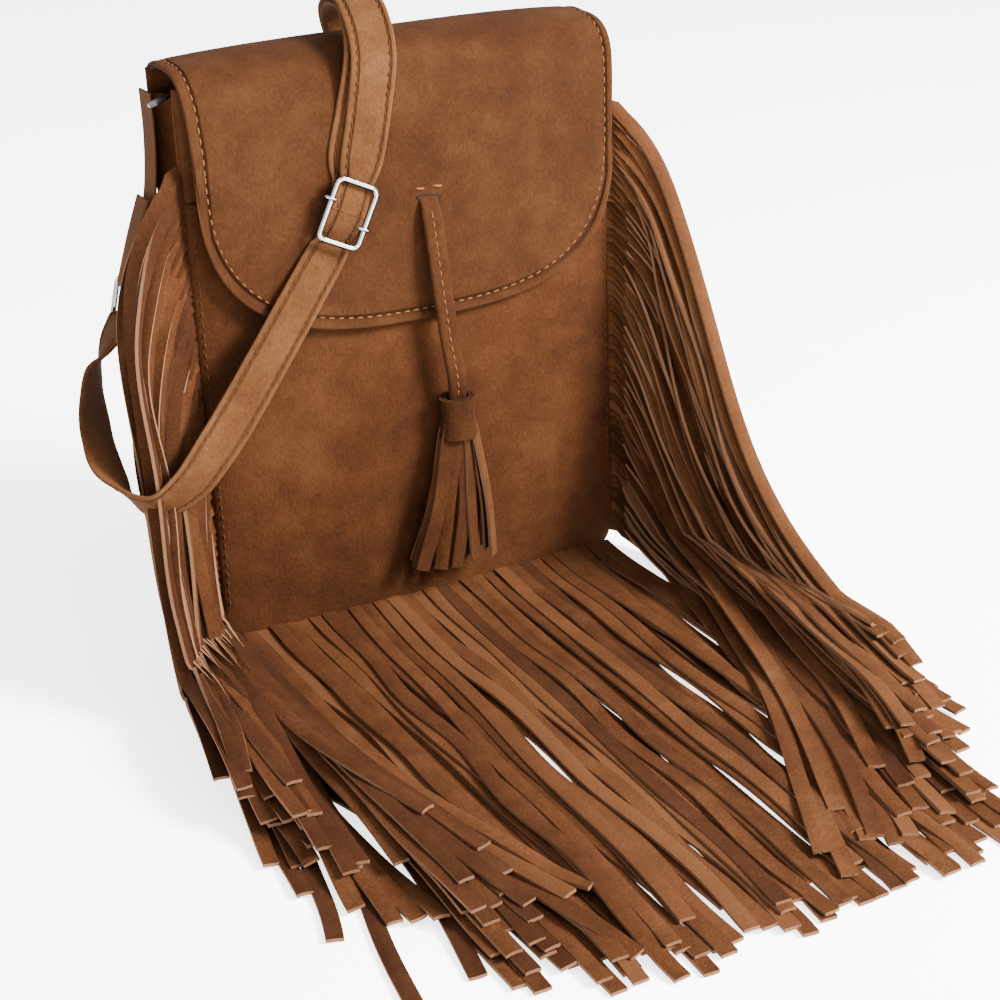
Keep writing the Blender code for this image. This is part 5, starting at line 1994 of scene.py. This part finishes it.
@dataclass(frozen=True)
class Studio:
    """Camera, floor and soft lights."""

    azimuth: float = -27.3
    elevation: float = 23.7
    roll: float = -2.1
    distance: float = 0.969
    target: tuple[float, float, float] = (0.048, 0.0, 0.031)
    lens: float = 73.2
    floor_glow: float = 2.6

    def camera(self) -> None:
        """Place the camera."""
        data = bpy.data.cameras.new("camera")
        data.lens = self.lens
        data.sensor_width = 36.0
        data.clip_start = 0.01
        around, up = math.radians(self.azimuth), math.radians(self.elevation)
        back = Vector((math.sin(around) * math.cos(up), -math.cos(around) * math.cos(up), math.sin(up)))
        look = back.to_track_quat("Z", "Y").to_matrix().to_4x4()
        turn = Matrix.Rotation(math.radians(self.roll), 4, "Z")
        camera = bpy.data.objects.new("camera", data)
        camera.matrix_world = Matrix.Translation(Vector(self.target) + back * self.distance) @ look @ turn
        bpy.context.scene.collection.objects.link(camera)
        bpy.context.scene.camera = camera

    def floor(self) -> None:
        """Pale floor."""
        reach = 6.0
        verts = np.array([(-reach, -reach, -0.0003), (reach, -reach, -0.0003), (reach, reach, -0.0003),
                          (-reach, reach, -0.0003)])
        material, _, shader = new_material("pale_floor")
        shader.inputs["Base Color"].default_value = (0.95, 0.95, 0.955, 1.0)
        shader.inputs["Roughness"].default_value = 0.7
        shader.inputs["Emission Color"].default_value = (1.0, 1.0, 1.0, 1.0)
        shader.inputs["Emission Strength"].default_value = self.floor_glow
        floor = make_piece("floor", verts, [(0, 1, 2, 3)], material, smooth=False)
        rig.stage(floor)

    def light(self, name: str, place: Point, aim: Point, size: float, watts: float, colour: Colour) -> None:
        """Add a square soft light.

        Args:
            name: name of the light.
            place: where it stands.
            aim: what it points at.
            size: length of its sides.
            watts: its power.
            colour: its colour.
        """
        data = bpy.data.lights.new(name, "AREA")
        data.size = size
        data.energy = watts
        data.color = colour
        lamp = bpy.data.objects.new(name, data)
        lamp.location = place
        lamp.rotation_euler = (Vector(aim) - Vector(place)).to_track_quat("-Z", "Y").to_euler()
        bpy.context.scene.collection.objects.link(lamp)

    def lights(self) -> None:
        """Key from the right and above, weak fill from the front and a pale sky."""
        self.light("key_light", (0.98, -1.02, 1.05), (0.0, -0.1, 0.1), 0.55, 255.0, (1.0, 0.985, 0.96))
        self.light("fill_light", (0.1, -1.7, 1.3), (0.0, 0.0, 0.1), 1.2, 30.0, (0.97, 0.985, 1.0))
        world = bpy.data.worlds.new("studio")
        world.use_nodes = True
        world.node_tree.nodes["Background"].inputs["Color"].default_value = (1.0, 1.0, 1.0, 1.0)
        world.node_tree.nodes["Background"].inputs["Strength"].default_value = 2.3
        bpy.context.scene.world = world

    def build(self) -> None:
        """Set up the studio."""
        self.camera()
        self.floor()
        self.lights()


def dress_hardware(finishes: dict[str, bpy.types.Material]) -> None:
    """Give the metal and plastic nodes their finishes."""
    chosen = {"gunmetal": ("buckle_frame", "buckle_bar", "d_ring_left", "d_ring_right"),
              "zip_metal": ("zip_slider", "zip_pull"),
              "snap": ("snap_stud", "snap_socket"),
              "teeth": ("zip_teeth_front", "zip_teeth_back"),
              "tape": ("zip_tape_front", "zip_tape_back")}
    for finish, names in chosen.items():
        for name in names:
            for item in frame["nodes"][name].material_slots:
                item.material = finishes[finish]
            LOG.info("%s: %s", name, finish)


def main() -> None:
    """Build the bag from its shell outwards."""
    logging.basicConfig(level=logging.INFO, format="%(message)s")
    for build_group in (suede_nap_group, weave_group, wear_group):
        build_group()
    finishes = {name: finish.make() for name, finish in FINISHES.items()}
    Studio().build()
    Shell(finishes["body"], finishes["lining"], finishes["brown_thread"]).build()
    flap = Flap(finishes["flap"], finishes["lining"], finishes["thread"], finishes["tape"])
    flap.build()
    Fringe(finishes["fringe"]).build()
    Tassel(finishes["flap"], finishes["fringe"], finishes["thread"], flap).build()
    strap = Strap(finishes["strap"], finishes["brown_thread"])
    strap.build()
    strap.build_tabs()
    BarLoops(strap, finishes["gunmetal"]).build()
    dress_hardware(finishes)
    sizes = {"cad": [list(map(float, corner)) for corner in CAD_BOX],
             "visual": [list(map(float, corner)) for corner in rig.bounds()]}
    with open("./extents.json", "w", encoding="utf-8") as out:
        json.dump(sizes, out)


if __name__ == "__main__":
    main()
